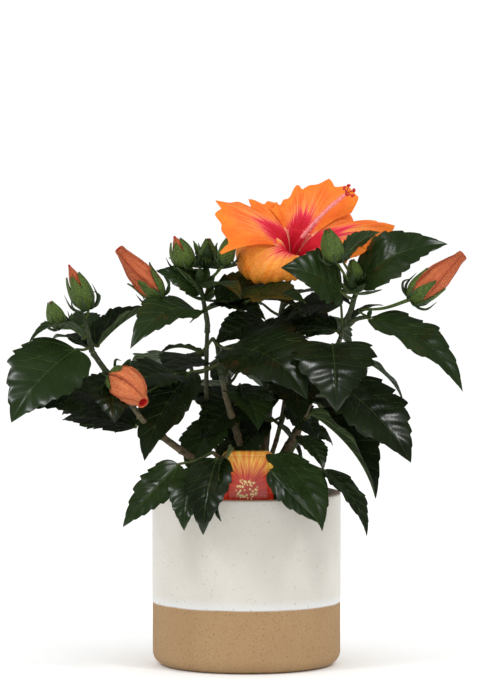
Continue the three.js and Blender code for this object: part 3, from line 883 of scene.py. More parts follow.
def grow_blade(gatherer, rib_gatherer, blade, tone, rows=65, columns=21, teeth=8, pairs=4):
    """One leaf: its two skins go to the first gatherer and its veins to the second."""
    t = np.linspace(0, 1, rows)[:, None] * np.ones(columns)
    u = np.linspace(-1, 1, columns)[None, :] * np.ones((rows, 1))
    side = np.sign(u)
    tooth = (t * teeth + 0.3 * np.sin(7 * t + blade.phase * side) + 0.2 * side) % 1
    bite = np.clip((t - 0.14) / 0.12, 0, 1) * np.clip((1 - t) / 0.06, 0, 1)
    size = 0.9 + 0.3 * np.sin(5 * t + 2 * blade.phase + side)
    notch = TOOTH_DEPTH * size * bite * (1 - tooth ** 0.7) * np.abs(u) ** 5
    y = blade.width_at(t) * u * (1 + 0.4 * TOOTH_DEPTH * bite - notch)
    veins = leaf_veins(blade, pairs)
    near = distance_to_veins(blade, t, y, veins) / (0.045 * blade.length)
    rim = np.clip(1 - np.abs(u) ** 4, 0, 1)
    quilt = QUILT * blade.length * near ** 2 / (1 + near ** 2) * rim
    gatherer.sheet(blade.lay(t, y, quilt), tone)
    gatherer.sheet(blade.lay(t, y, quilt - BLADE_THICKNESS * rim), UNDERSIDE, flip=True)
    grow_ribs(rib_gatherer, blade, veins)


def grow_ribs(gatherer, blade, veins):
    """A ridge along each vein, above and below, with its two edges sunk into the skin."""
    for vein_t, vein_y, start, end in veins:
        width = np.linspace(start, end, len(vein_t)) * MM * min(1, blade.length / (55 * MM))
        slope = np.gradient(vein_y, vein_t * blade.length + 1e-9)
        norm = np.sqrt(1 + slope ** 2)
        dt, dy = -slope / norm * width / blade.length, width / norm
        for crest, edge, side in RIB_SIDES:
            row = [blade.lay(vein_t - dt, vein_y - dy, edge), blade.lay(vein_t, vein_y, crest),
                   blade.lay(vein_t + dt, vein_y + dy, edge)]
            gatherer.sheet(np.stack(row, 1), side, flip=side == 1)


print("blade", round(BLADE_THICKNESS / MM, 2), "mm thick")

# %% [markdown]
# Hibiscus leaves are nearly black-green above with a waxy shine, and duller, greyer green below. The
# youngest are fresher green. Within a leaf a slow mottle and a fine grain stop the surface from
# looking like plastic.


# %% Leaf finishes
def leaf_finish(name, dark, light, roughness, coat):
    leaf = Finish(name, dark, roughness, Coat_Weight=coat, Coat_Roughness=0.14,
                  Specular_IOR_Level=0.4)
    slow = leaf.pattern("mottle", Scale=45, Low=0.3, High=0.7)
    fine = leaf.pattern("mottle", Scale=650, Low=0.25, High=0.75)
    colour = leaf.tint(leaf.mix(slow, dark, light), light, fine, 0.25)
    worn = leaf.spread(slow, 0, 1, roughness - 0.05, roughness + 0.08)
    return leaf.wear(colour, worn, fine, 0.0001, 0.4)


DARK, MID, YOUNG = 0, 1, 2  # paint numbers of the upper skins
LEAF_TONES = [
    leaf_finish("leaf_dark", paint(14, 22, 7), paint(24, 36, 12), 0.28, 0.1),
    leaf_finish("leaf_mid", paint(22, 35, 11), paint(35, 52, 19), 0.28, 0.1),
    leaf_finish("leaf_young", paint(50, 78, 24), paint(76, 108, 38), 0.36, 0.1),
    leaf_finish("leaf_underside", paint(38, 54, 24), paint(54, 72, 34), 0.6, 0.0),
]
RIB_TONES = [
    leaf_finish("vein_above", paint(52, 72, 28), paint(74, 96, 42), 0.45, 0.0),
    leaf_finish("vein_below", paint(74, 92, 52), paint(94, 112, 68), 0.6, 0.0),
]
STALK = leaf_finish("leaf_stalk", paint(46, 62, 22), paint(76, 84, 38), 0.5, 0.0)
print("leaf finishes", len(LEAF_TONES) + len(RIB_TONES) + 1)

# %% [markdown]
# ## Shoots
# Where a bough ends, a leafy shoot goes on. The shoots at the back and in the middle follow a rule
# that real hibiscus keeps: each leaf stands about 137.5 degrees round from the last one. The rule
# gives a little chance to each leaf's slope, size and roll.


# %% Leaves by rule
def leaf(share, stalk, blade, tone=None, **form):
    """One leaf as a list tells it. Stalk and blade are each a turn, a rise and a length in mm."""
    return {"share": share, "stalk": stalk, "blade": blade, "tone": tone, "form": form}


rule_seeds = itertools.count(1)


def leaves_by_rule(count, first, rise, length):
    """Leaves round a shoot. Rise and length are pairs, for the lowest leaf and the highest."""
    leaves = []
    for i in range(count):
        seed = next(rule_seeds)
        place = (i + 0.5) / count
        turn = (first + GOLDEN_ANGLE * i) % 360
        slope = rise[0] + (rise[1] - rise[0]) * place + 12 * (fraction(seed) - 0.5)
        size = (length[0] + (length[1] - length[0]) * place) * (0.9 + 0.2 * fraction(seed + 50))
        roll = 20 * (fraction(seed + 90) - 0.5)
        leaves.append(leaf(0.45 + 0.55 * (i + 1) / count, (turn, slope + 45, 0.3 * size),
                           (turn, slope, size), roll=roll, width=0.68))
    return leaves


print("golden angle", GOLDEN_ANGLE)

# %% [markdown]
# The front of the plant is arranged leaf by leaf. A shoot starts at the end of a
# bough, of the trunk or of another shoot, and is a few stretches, each told by turn, rise and length
# in mm. Each leaf has its share of the way along the shoot, then its stalk and its blade, told the
# same way, then its tone of green. Where no tone is named, dark or mid green is dealt out.

# %% Shoot list
SHOOTS = {
    "leaves_left_tip": ("bough_left_upper", [(162, 77, 14), (162, 75, 12)], [
        leaf(0.15, (239, -2, 21), (215, -40, 78), MID, roll=-30, width=0.82),
        leaf(0.5, (246, -20, 8), (212, 0, 49), MID, fold=20, arch=0.22, width=0.5),
        leaf(0.3, (46, -29, 9), (33, 33, 57), DARK, fold=45, arch=0.05),
        leaf(0.1, (99, -6, 10), (130, 9, 48), width=0.5),
        leaf(0.7, (87, -28, 12), (98, 21, 43)),
    ]),
    "leaves_left_low": ("bough_left", [(184, 53, 25), (180, 53, 21)], [
        leaf(0.9, (207, -29, 20), (195, -9, 63), DARK, roll=-35, arch=0.15, width=0.85),
        leaf(0.7, (105, -20, 7), (160, -19, 50), DARK, roll=-40, width=0.9),
        leaf(0.2, (101, -43, 16), (149, 4, 69), DARK, roll=-28, arch=0.05, width=0.5),
        leaf(1, (266, -7, 12), (279, -40, 45), DARK, width=0.85),
        leaf(0.5, (25, 23, 44), (220, -13, 55), DARK, roll=-20, arch=0.12, width=0.9),
    ]),
    "leaves_left_hanging": ("trunk", [(236, 21, 19), (242, 25, 33), (230, 30, 18)], [
        leaf(1, (203, -16, 29), (220, -38, 69), roll=-40, arch=0.02, width=0.42),
        leaf(0.8, (237, -14, 28), (246, -55, 53)),
        leaf(0.6, (261, 8, 30), (253, -58, 63), fold=20, arch=0.12),
        leaf(0.4, (275, 30, 31), (253, -51, 66), roll=60, fold=20, arch=0.08, width=0.5),
    ]),
    "leaves_right_hanging": ("trunk", [(287, 8, 14), (293, 32, 30), (313, 32, 19)], [
        leaf(0.7, (253, 17, 25), (315, -44, 75), MID, arch=0.12),
        leaf(0.4, (267, 5, 43), (326, -42, 58), MID, roll=75, fold=20, arch=0.04, width=0.36),
        leaf(1, (336, -22, 29), (327, -48, 62), width=0.5),
        leaf(0.9, (29, 53, 19), (305, -35, 39)),
    ]),
    "leaves_left_top": ("bough_thin", [(270, 63, 9), (198, 79, 17), (191, 78, 24)], [
        leaf(0.3, (249, -7, 14), (225, -17, 74), MID, roll=-20, arch=0.2, width=0.6),
        leaf(0.55, (235, 57, 6), (202, 25, 39), MID, roll=-60),
        leaf(0.5, (288, 42, 16), (309, -7, 42), MID, arch=0.15, width=0.62),
        leaf(0.3, (316, 28, 9), (334, -12, 47), DARK, roll=20, arch=0.14, width=0.62),
    ]),
    "leaves_centre_top": ("bough_centre_top", [(235, 54, 21), (231, 41, 17)], [
        leaf(0.9, (216, 9, 17), (17, 17, 51), MID, roll=50),
        leaf(0.6, (279, 17, 30), (330, 3, 52), MID, roll=25, fold=20, width=0.72),
        leaf(0.2, (316, 13, 18), (203, -19, 44), DARK, roll=-30, width=0.8),
        leaf(0.9, (221, 1, 18), (341, -1, 69), MID, roll=20, arch=0.14, width=0.5),
        leaf(0.1, (302, 5, 12), (331, -4, 37), DARK, roll=30, width=0.8),
    ]),
    "leaves_centre": ("bough_centre", [(121, 74, 22), (135, 47, 8)], [
        leaf(0.2, (173, -17, 24), (225, -52, 80), DARK, roll=-10, arch=0.08, width=0.62),
        leaf(1, (131, -39, 19), (218, 5, 38), DARK, fold=20, width=0.45),
        leaf(0.8, (298, -9, 26), (330, -25, 76), DARK, roll=25, arch=0.18, width=1),
    ]),
    "leaves_right_low": ("bough_right", [(330, 66, 20), (347, 67, 24)], [
        leaf(0.9, (310, 10, 27), (331, -42, 83), DARK, roll=25, arch=0.07, width=0.72),
        leaf(0.3, (294, 23, 16), (328, -44, 85), DARK, fold=45, arch=0.08),
        leaf(0.1, (28, 12, 6), (43, -25, 33), roll=50, width=0.5),
    ]),
    "leaves_right": ("leaves_right_low", [(0, 63, 31), (31, 69, 16)], [
        leaf(0.6, (256, 0, 21), (273, -50, 61), DARK, fold=20, arch=0.15, width=1.05),
        leaf(0.95, (134, 83, 18), (157, -12, 47), DARK, roll=-30, width=0.75),
        leaf(0.8, (142, 33, 5), (163, 0, 47), DARK, roll=-30, width=0.7),
    ]),
    "leaves_right_middle": ("leaves_right", [(14, 14, 4), (315, 31, 10), (323, 11, 10)], [
        leaf(0.1, (74, 35, 6), (27, 23, 29), width=0.5),
        leaf(1, (302, -19, 5), (336, -32, 92), MID, roll=20, arch=0.13, width=0.47),
    ]),
    "leaves_right_top": ("bough_right_upper", [(11, 72, 17), (16, 60, 29)], [
        leaf(0.3, (237, 18, 20), (217, 22, 60), MID, roll=-60, width=0.78),
        leaf(0.3, (299, 60, 15), (347, 25, 74), MID, roll=55, arch=0.17),
        leaf(0.6, (238, 35, 34), (8, 39, 36), DARK, roll=-40, width=0.75),
    ]),
    "leaves_middle_left": ("trunk", [(135, 35, 7), (143, 70, 45), (135, 77, 39)],
                           leaves_by_rule(6, 235, (-50, -15), (64, 56)) + [
                               leaf(0.3, (253, 62, 37), (207, -40, 40), DARK, roll=-30, width=0.9),
                               leaf(0.6, (278, 41, 37), (353, -68, 45), DARK, roll=10, width=0.9)]),
    "leaves_middle_right": ("trunk", [(45, 35, 7), (27, 70, 45), (34, 80, 43)],
                            leaves_by_rule(5, 225, (-50, -15), (64, 56)) + [
                                leaf(0.4, (294, 50, 32), (341, -47, 36), DARK, roll=30, width=0.85)]),
    "leaves_back_left": ("bough_back_left", [(124, 54, 25), (121, 60, 23)],
                         leaves_by_rule(6, 295, (-45, -18), (76, 60))),
    "leaves_back_right": ("bough_back_right", [(45, 56, 30), (45, 61, 29)],
                          leaves_by_rule(6, 165, (-50, -36), (72, 48))),
    "leaves_back_top": ("bough_back_top", [(56, 77, 32), (59, 75, 46)],
                        leaves_by_rule(7, 130, (-40, 10), (66, 52)) + [
                            leaf(0.1, (282, 64, 55), (340, -10, 48), DARK, roll=40, width=0.75)]),
    "leaves_back_low": ("trunk", [(90, -20, 12), (94, 14, 33), (95, 20, 23)],
                        leaves_by_rule(5, 30, (-62, -50), (78, 72))),
}
print(sum(len(s[2]) for s in SHOOTS.values()), "leaves on", len(SHOOTS), "shoots")

# %% [markdown]
# Growing goes from the list to meshes: the shoot's own wood first, then for each leaf a stalk that
# sags a little and a blade at its end. The blades of a shoot are one piece, which stands in for the
# plain solid of that shoot's foliage. All the wood, stalks and veins are gathered for the whole plant.


# %% Grow the shoots
ends = {name: line[-1] for name, line in lines.items()}
ends["trunk"] = fork
shoot_lines = {}
twigs, stalks, ribs = Gatherer(), Gatherer(), Gatherer()
leaf_seeds = itertools.count(101)
STALK_DROOP = 0.06  # as a share of the stalk's length
STALK_RADII = np.linspace(1.25, 0.85, 12) * MM


def grow_shoot(name, start, stretches, leaves):
    """Grows one shoot from the end of another piece of wood, and gives back its blades."""
    points = [ends[start]]
    for turn, rise, length in stretches:
        points.append(points[-1] + direction(turn, rise) * length * MM)
    ends[name] = points[-1]
    leafy = np.array(points[-3:])
    shoot_lines[name] = leafy
    limb(twigs, smooth_path(points, 24), 2.3, 1.5, sides=10, spacing=0.009, knot=0.1)
    blades = Gatherer()
    for spec in leaves:
        seed = next(leaf_seeds)
        node = along(leafy, spec["share"])
        turn, rise, length = spec["stalk"]
        base = node + direction(turn, rise) * length * MM
        turn, rise, size = spec["blade"]
        blade = Blade(base, turn, rise, size * MM, seed, **spec["form"])
        dealt = (DARK, MID)[int(2 * fraction(seed + 31))]
        tone = dealt if spec["tone"] is None else spec["tone"]
        grow_blade(blades, ribs, blade, tone)
        droop = node * 0.5 + base * 0.5 - np.array([0, 0, STALK_DROOP]) * length * MM
        path = smooth_path([node, droop, base, base + blade.axis * 2 * MM], len(STALK_RADII))
        tube(stalks, path, STALK_RADII)
    return blades


for name, (start, stretches, leaves) in SHOOTS.items():
    blades = grow_shoot(name, start, stretches, leaves)
    piece = blades.piece("blades_" + name.removeprefix("leaves_"), LEAF_TONES)
    ready(piece, "leaves", name, angle=80)

# %% [markdown]
# At the tip of a shoot the youngest leaves stand close together like a small star. They are narrow,
# folded and still curved inwards, and their green is fresher. They are grown by the same leaf
# function with fewer rows, round the shoot by the same 137.5 degrees.


# %% Young leaves
# Shoot, share of the way along it, stalk to the tuft, number of leaves and their length in mm.
TUFTS = [
    ("leaves_left_top", 0.72, (270, 5, 6), 9, 24), ("leaves_left_top", 0.5, (300, 0, 5), 6, 19),
    ("leaves_left_top", 1, (0, 13, 9), 10, 26), ("leaves_right_top", 0.4, (250, 12, 8), 9, 21),
    ("leaves_right_top", 1, (0, 0, 2), 7, 18), ("leaves_left_tip", 0.8, (196, -6, 16), 6, 13),
    ("leaves_centre_top", 1, (0, 0, 1), 6, 15), ("leaves_right_middle", 1, (0, 0, 1), 4, 10),
]


def tuft(gatherer, shoot, share, stalk, count, size):
    """A star of young leaves that rise more steeply towards its middle."""
    turn, rise, reach = stalk
    node = along(shoot_lines[shoot], share) + direction(turn, rise) * reach * MM
    for i in range(count):
        place = (i + 0.5) / count
        length = size * (1.1 - 0.4 * place + 0.25 * fraction(i + size)) * MM
        blade = Blade(node, GOLDEN_ANGLE * i + size, 5 + 70 * place, length, i,
                      fold=24, arch=-0.1, width=0.4)
        grow_blade(gatherer, ribs, blade, YOUNG, rows=25, columns=9, teeth=5, pairs=2)


young = Gatherer()
for spec in TUFTS:
    tuft(young, *spec)
ready(young.piece("young_leaves", LEAF_TONES), "leaves", angle=80)

# %% [markdown]
# Now that every leaf has grown, what was gathered for the whole plant becomes three pieces.

# %% Twigs, stalks and veins
ready(twigs.piece("twigs", [BARK]), "bark")
ready(stalks.piece("leaf_stalks", [STALK]), "leaves")
ready(ribs.piece("leaf_veins", RIB_TONES), "leaves", angle=80)

# %% [markdown]
# ## Buds
# A hibiscus bud is five petals rolled round each other, so it looks like a rope with a blunt end.
# The body is a ring grid that winds as it climbs. Each petal's free edge stands a little proud of the
# next one, which gives the fine spiral steps.


# %% Bud body
def frames_along(path):
    """Three arrows at each point of a path: across, upward and onward."""
    tangents = np.gradient(path, axis=0)
    tangents /= np.linalg.norm(tangents, axis=1)[:, None]
    across = unit(np.cross(tangents[0], [0.31, 0.9, 0.3]))
    frames = []
    for tangent in tangents:
        across = unit(across - tangent * (across @ tangent))
        frames.append((across, np.cross(tangent, across), tangent))
    return frames


PETALS_IN_BUD = 5
# Each outline pair is a share of the height and, there, a share of the radius.
BUD_OUTLINE = [(0, 0.3), (0.06, 0.62), (0.18, 0.9), (0.34, 1), (0.55, 0.9), (0.75, 0.66),
               (0.9, 0.45), (0.97, 0.42), (1.0, 0.36), (0.99, 0.25), (0.95, 0.14), (0.94, 0.02)]
ROUND_OUTLINE = [(0, 0.5), (0.1, 0.84), (0.3, 1), (0.52, 1), (0.72, 0.82), (0.86, 0.54), (0.93, 0.44),
                 (1.0, 0.4), (1.0, 0.3), (0.94, 0.16), (0.9, 0.02)]
GREEN_OUTLINE = [(0, 0.25), (0.08, 0.62), (0.2, 0.88), (0.38, 0.95), (0.6, 0.82), (0.8, 0.5),
                 (0.93, 0.22), (1.0, 0.1), (1.0, 0.02)]


class Bud:
    """A slender body along a bowed middle line, with an outline that says how thick it is."""

    def __init__(self, base, tip, radius, sag=0.0, outline=BUD_OUTLINE):
        self.length = np.linalg.norm(tip - base)
        bow = np.array([0, 0, -sag])
        self.path = smooth_path([base, (base + tip) / 2 + bow, tip], 40)
        self.frames = frames_along(self.path)
        self.radius = radius
        self.outline = smooth_path(outline, 64)

    def lay(self, height, angle, distance):
        """A point at a share of the height, an angle round the bud and a distance from its middle."""
        place = np.clip(height, 0, 1) * (len(self.path) - 1)
        low = np.minimum(place.astype(int), len(self.path) - 2)
        share = (place - low)[..., None]
        centre = self.path[low] * (1 - share) + self.path[low + 1] * share
        across, upward, onward = (np.array([f[i] for f in self.frames])[low] for i in range(3))
        ring = across * np.cos(angle)[..., None] + upward * np.sin(angle)[..., None]
        past = np.maximum(height - 1, 0)[..., None] * self.length
        return centre + ring * distance[..., None] + onward * past

    def girth(self, height):
        outer = self.outline[: np.argmax(self.outline[:, 0]) + 1]
        return self.radius * np.interp(height, outer[:, 0], outer[:, 1])


def furled_petals(gatherer, bud, twist=1.5, step=0.13, share=1.0):
    """The rolled petals of a bud, creased along their length, at a share of the bud's girth."""
    edge = np.linspace(0, 1, 15)
    angle = np.concatenate([(k + edge) / PETALS_IN_BUD * 2 * math.pi for k in range(PETALS_IN_BUD)])
    phase = np.tile(edge, PETALS_IN_BUD)
    height, girth = bud.outline[:, :1], bud.outline[:, 1:] * bud.radius * share
    wound = angle[None, :] - twist * np.linspace(0, 1.2, len(height))[:, None]
    lift = 1 + step * phase[None, :] ** 3 * np.sin(np.pi * np.clip(height, 0, 1)) ** 0.5
    crease = 1 + 0.022 * np.sin(11 * angle[None, :] + 21 * height) * np.sin(math.pi * height)
    crease = crease + 0.012 * np.sin(23 * angle[None, :] - 34 * height + 3 * np.sin(9 * height))
    distance = girth * lift * crease
    grid = bud.lay(np.broadcast_to(height, distance.shape), wound, distance)
    u = np.append(phase, 0)[None, :] * np.ones_like(height)
    v = np.linspace(0, 1, len(height))[:, None] * np.ones(len(phase) + 1)
    gatherer.sheet(grid, around=True, place=np.stack([u, v], 2))


print("bud outlines", len(BUD_OUTLINE), len(ROUND_OUTLINE), len(GREEN_OUTLINE))

# %% [markdown]
# Five pointed sepals hold the bud from below. They share a cup, and each has a keel and two side
# ribs. A ring of thin curved bracts stands outside them, and a stalk joins the bud to its shoot. In a
# green bud the sepals still meet over the petals.


# %% Sepals, bracts and stalks
SEPALS = 5
SEPAL_CUP = 0.32  # share of a sepal's height up to which the five are one cup
SEPAL_TURN = 0.4
BRACT = 1  # paint number beside the sepals' 0


def sepals(gatherer, bud, height, spread=0.9, flare=0.25, keel=0.12, point=0.75):
    """Pointed lobes that hug the bud from a shared cup and stand off a little at their tips."""
    t = np.linspace(0, 1, 22)[:, None]
    u = np.linspace(-1, 1, 15)[None, :]
    taper = np.where(t < SEPAL_CUP, 1, np.clip(1 - (t - SEPAL_CUP) / (1 - SEPAL_CUP), 0, 1) ** point)
    half = math.pi / SEPALS * (1 - (1 - spread) * np.clip(t / SEPAL_CUP, 0, 1)) * taper + 1e-4
    up = height * (t + 0 * u)
    around = bud.girth(up) + 0.5 * MM
    off = flare * bud.radius * np.clip(t - 0.55, 0, 1) ** 2 * 3
    side_rib = 0.5 * np.exp(-((np.abs(u) - 0.5) / 0.13) ** 2)
    bulge = keel * bud.radius * ((1 - np.abs(u)) ** 3 + side_rib) * np.clip(t * 4, 0, 1)
    for k in range(SEPALS):
        angle = SEPAL_TURN + 2 * math.pi * k / SEPALS + half * u
        gatherer.sheet(bud.lay(up, angle, around + off + bulge + 0.35 * MM * taper))
        gatherer.sheet(bud.lay(up, angle, around + off), flip=True)


def bracts(gatherer, bud, count=7, reach=1.35, height=0.45, size=1.2):
    """Thin, curved threads round the foot of the bud, each a little different in length."""
    for k in range(count):
        angle = 0.1 + 2 * math.pi * (k + 0.3 * fraction(k + bud.length / MM)) / count
        wild = 0.75 + 0.5 * fraction(3 * k + bud.radius / MM)
        heights = np.array([0.0, 0.02, 0.4 * height, height * wild])
        out = bud.radius * np.array([0.25, 0.9, reach, reach * wild * 0.95])
        knots = bud.lay(heights, np.full(4, angle), out)
        radii = size * np.interp(np.arange(10), (0, 3, 6, 9), (0.6, 1, 0.8, 0.1)) * MM
        tube(gatherer, smooth_path(knots, len(radii)), radii, 6, BRACT)


def pedicel(gatherer, points, start=1.0, end=1.5):
    """The stalk of a bud, with its radius in mm at both ends."""
    radii = np.linspace(start, end, 16) * MM
    tube(gatherer, smooth_path(points, len(radii)), radii)


print("sepals on a bud", SEPALS)

# %% [markdown]
# Bud petals are salmon orange, with darker red lines at the rolled edges and a deep red mouth. The
# pattern's first number runs across each petal and the second from base to mouth, so the red can
# follow the spiral. Sepals are a fresh, slightly downy green.


# %% Bud finishes
def bud_finish(name, deep, light):
    petal = Finish(name, deep, 0.6, Specular_IOR_Level=0.3)
    uv = petal.node("ShaderNodeUVMap", {"uv_map": "pattern"}).outputs["UV"]
    parts = petal.node("ShaderNodeSeparateXYZ", Vector=uv)
    across, up = parts.outputs["X"], parts.outputs["Y"]
    long = petal.node("ShaderNodeMapping", Vector=uv)
    long.inputs["Scale"].default_value = (9, 1.2, 1)
    streak = petal.pattern("mottle", long.outputs["Vector"], Scale=4, Low=0.3, High=0.7)
    crinkle = petal.pattern("mottle", Scale=520, Low=0.3, High=0.7)
    colour = petal.tint(petal.mix(streak, deep, light), paint(192, 70, 40), crinkle, 0.35)
    seam = petal.maths("MAXIMUM", petal.spread(across, 0.86, 1.0), petal.spread(across, 0.1, 0.0))
    colour = petal.tint(colour, paint(150, 40, 24), seam, 0.6)
    mouth = petal.spread(up, 0.74, 0.84, smooth=True)
    colour = petal.mix(mouth, colour, paint(222, 22, 22))
    return petal.wear(colour, None, petal.maths("ADD", crinkle, streak), 0.0012, 0.9)


def sepal_finish():
    sepal = Finish("sepal", paint(60, 88, 30), 0.5, Specular_IOR_Level=0.4)
    vein = sepal.pattern("mottle", Scale=650, Low=0.3, High=0.7)
    down = sepal.pattern("mottle", Scale=1500, Low=0.3, High=0.7)
    colour = sepal.mix(vein, paint(44, 66, 16), paint(90, 114, 36))
    colour = sepal.tint(colour, paint(122, 142, 72), down, 0.2)
    return sepal.wear(colour, None, sepal.maths("ADD", vein, down), 0.0007, 0.8)


BUD_PETALS = bud_finish("bud_petals", paint(204, 84, 44), paint(238, 142, 90))
# A paler copy of the bud petals for the front bud: painted light on that bud.
BUD_PETALS_LIT = bud_finish("bud_petals_lit", paint(228, 98, 48), paint(252, 166, 106))
SEPAL = sepal_finish()
BRACT_GREEN = leaf_finish("bract", paint(26, 42, 18), paint(48, 68, 30), 0.5, 0.05)
print("bud finishes", BUD_PETALS.name, BUD_PETALS_LIT.name, SEPAL.name, BRACT_GREEN.name)

# %% [markdown]
# Three buds show their colour and have solids of their own, so their stalk and tip are shares of
# those solids' boxes. The front one is rounder than the others and nods down to the right. Its petals
# get a paler copy of the bud finish, which is painted light on that bud.

# %% Coloured buds
COLOURED = {
    "bud_left_top": dict(
        stalk=[(0.987, 0.957, 0.024), (0.77, 0.732, 0.131), (0.536, 0.475, 0.275)],
        tip=(0.04, 0.1, 0.95), radius=9.3, calyx=0.5, flare=0.5),
    "bud_left_front": dict(
        stalk=[(0.216, 0.971, 0.474), (0.044, 0.827, 0.66), (0.2, 0.564, 0.72)],
        tip=(0.8, -0.2, 0.12), radius=11.8, calyx=0.36, flare=0.1, sag=-2, outline=ROUND_OUTLINE,
        # The front bud wears the paler copy of the bud finish, which is painted light.
        finish=BUD_PETALS_LIT),
    "bud_right": dict(
        stalk=[(0.011, 0.972, 0.03), (0.222, 0.644, 0.071), (0.459, 0.37, 0.217)],
        tip=(0.96, 0.16, 0.94), radius=10, calyx=0.5, flare=0.1),
}
greens, brights = Gatherer(), Gatherer()
for name, spec in COLOURED.items():
    stalk = [inside(name, *share) for share in spec["stalk"]]
    bud = Bud(stalk[-1], inside(name, *spec["tip"]), spec["radius"] * MM, spec.get("sag", 0) * MM,
              spec.get("outline", BUD_OUTLINE))
    body = Gatherer()
    furled_petals(body, bud)
    finish = spec.get("finish", BUD_PETALS)
    ready(body.piece(name + "_petals", [finish]), "bud_petals", name, angle=50)
    sepals(greens, bud, spec["calyx"], flare=spec["flare"])
    bracts(greens, bud, reach=1.4, height=0.26)
    pedicel(greens, stalk)

# %% [markdown]
# The green buds stand among the young leaves. Two of them let a little colour out at the tip, where
# their sepals end short of the petals.


# %% Green buds
def green_bud(shoot, share, stalk, axis, radius, tip=1.0, many=8):
    """A closed bud on a shoot, told by its stalk and its own axis, each a turn, rise and length."""
    node = along(shoot_lines[shoot], share)
    turn, rise, length = stalk
    base = node + direction(turn, rise) * length * MM
    turn, rise, length = axis
    bud = Bud(base, base + direction(turn, rise) * length * MM, radius * MM, outline=GREEN_OUTLINE)
    furled_petals(brights, bud, twist=0.8, step=0.05, share=0.82)
    sepals(greens, bud, tip, spread=1.25, flare=0.0, keel=0.16, point=0.2 if tip == 1 else 0.42)
    bracts(greens, bud, many, reach=1.5, height=0.42, size=1.15)
    pedicel(greens, [node, (node + base) / 2 - [0, 0, 0.05 * length * MM], base], 0.9, 1.1)


green_bud("leaves_left_tip", 1, (0, 67, 8), (188, 66, 37), 8, tip=0.78)
green_bud("leaves_left_tip", 0.8, (196, -6, 20), (194, 68, 22), 6)
green_bud("leaves_left_top", 1, (229, 16, 11), (211, 63, 26), 8, tip=0.86)
green_bud("leaves_left_top", 1, (0, 13, 9), (0, 90, 22), 6, many=16)
green_bud("leaves_left_top", 0.7, (309, 34, 35), (302, 67, 24), 5.5)
green_bud("leaves_right_top", 0.5, (242, 34, 43), (229, 67, 27), 7.5)
green_bud("leaves_right_top", 1, (311, 5, 11), (193, 60, 18), 5.5, many=9)
green_bud("leaves_right_top", 0.6, (252, 18, 10), (207, 74, 17), 5, many=13)
print("green corners so far", greens.count)

# %% [markdown]
# ## The open bloom
# Five petals overlap in a wide funnel. The bloom has its own three directions: the axis that its
# throat points along, right and up. A petal is told by the way it turns round the axis, how far it
# spreads, how long it is, and the arc it follows, from a steep start to an end that is high or low.
# Its rim pairs give how far it reaches at a place across it, which draws its torn, pointed edge.

# %% Bloom directions and petal list
BLOOM_CENTRE = inside("bloom", 0.46, 0.588, 0.415)
STIGMA = inside("bloom", 0.72, 0.09, 0.87)
BLOOM_AXIS = unit(np.array([0.22, -0.66, 0.72]))
BLOOM_RIGHT = unit(np.cross([0, 0, 1], BLOOM_AXIS))
BLOOM_UP = np.cross(BLOOM_AXIS, BLOOM_RIGHT)
BLOOM_DEPTH = 26 * MM
CALYX = BLOOM_CENTRE - BLOOM_AXIS * BLOOM_DEPTH

# Angles in degrees and lengths in mm. A rim pair is a place across, from -1 to 1, and a reach there.
PETAL_SHAPES = {
    "petal_top": dict(
        turn=72, spread=48, throat=15, length=49, start=45, end=-2,
        cup=1, ruffle=1.6, waves=2.6, phase=0.6,
        rim=[(-1, 0.81), (-0.87, 1.02), (-0.76, 1.07), (-0.58, 1), (-0.46, 0.96), (-0.32, 1.04),
             (-0.23, 0.94), (-0.12, 0.83), (0.08, 0.69), (0.16, 0.76), (0.33, 0.58), (0.58, 0.48),
             (1, 0.42)]),
    "petal_left": dict(
        turn=150, spread=46, throat=15, length=54, start=36, end=-12,
        cup=1, ruffle=1.8, waves=1.7, phase=0.3,
        rim=[(-1, 0.47), (-0.63, 0.54), (-0.5, 0.7), (-0.42, 0.62), (-0.22, 0.8), (0, 1.04), (0.14, 0.97),
             (0.28, 1), (0.48, 0.92), (0.7, 0.86), (0.8, 0.84), (0.9, 1), (0.96, 1.12), (1, 1.1)]),
    "petal_ball": dict(
        turn=213, spread=50, throat=14, length=60, start=32, end=-140,
        cup=2, ruffle=0.3, waves=1.3, phase=1.0,
        rim=[(-1, 0.96), (-0.6, 0.97), (-0.1, 0.84), (0.3, 0.64), (0.6, 0.5), (1, 0.4)]),
    "petal_front": dict(
        turn=280, spread=46, throat=15, length=16, start=26, end=-70,
        cup=3, ruffle=1.2, waves=2.0, phase=2.2,
        rim=[(-1, 0.8), (-0.4, 1), (0.1, 0.95), (0.5, 1.02), (1, 0.8)]),
    "petal_right": dict(
        turn=3, spread=40, throat=15, length=68, start=40, end=-30,
        cup=1, ruffle=3.2, waves=3.3, phase=0.2,
        rim=[(-1, 0.3), (-0.75, 0.38), (-0.6, 0.5), (-0.35, 0.66), (-0.2, 0.84), (-0.1, 0.98), (0, 0.92),
             (0.08, 1), (0.15, 0.9), (0.22, 0.84), (0.3, 0.8), (0.35, 0.68), (0.5, 0.62), (1, 0.55)]),
}
print("petals", len(PETAL_SHAPES))

# %% [markdown]
# Each petal starts as a flat grid and is laid on its own curve: up out of the throat, then over in
# its arc, with ruffles that grow towards the free edge. The ball petal has rolled right over. A
# Solidify modifier gives each petal its thickness.


# %% Petal shape
THROAT_SHARE = 0.3  # the part of a petal that lies in the closed throat
PETAL_THICKNESS = 0.5 * MM


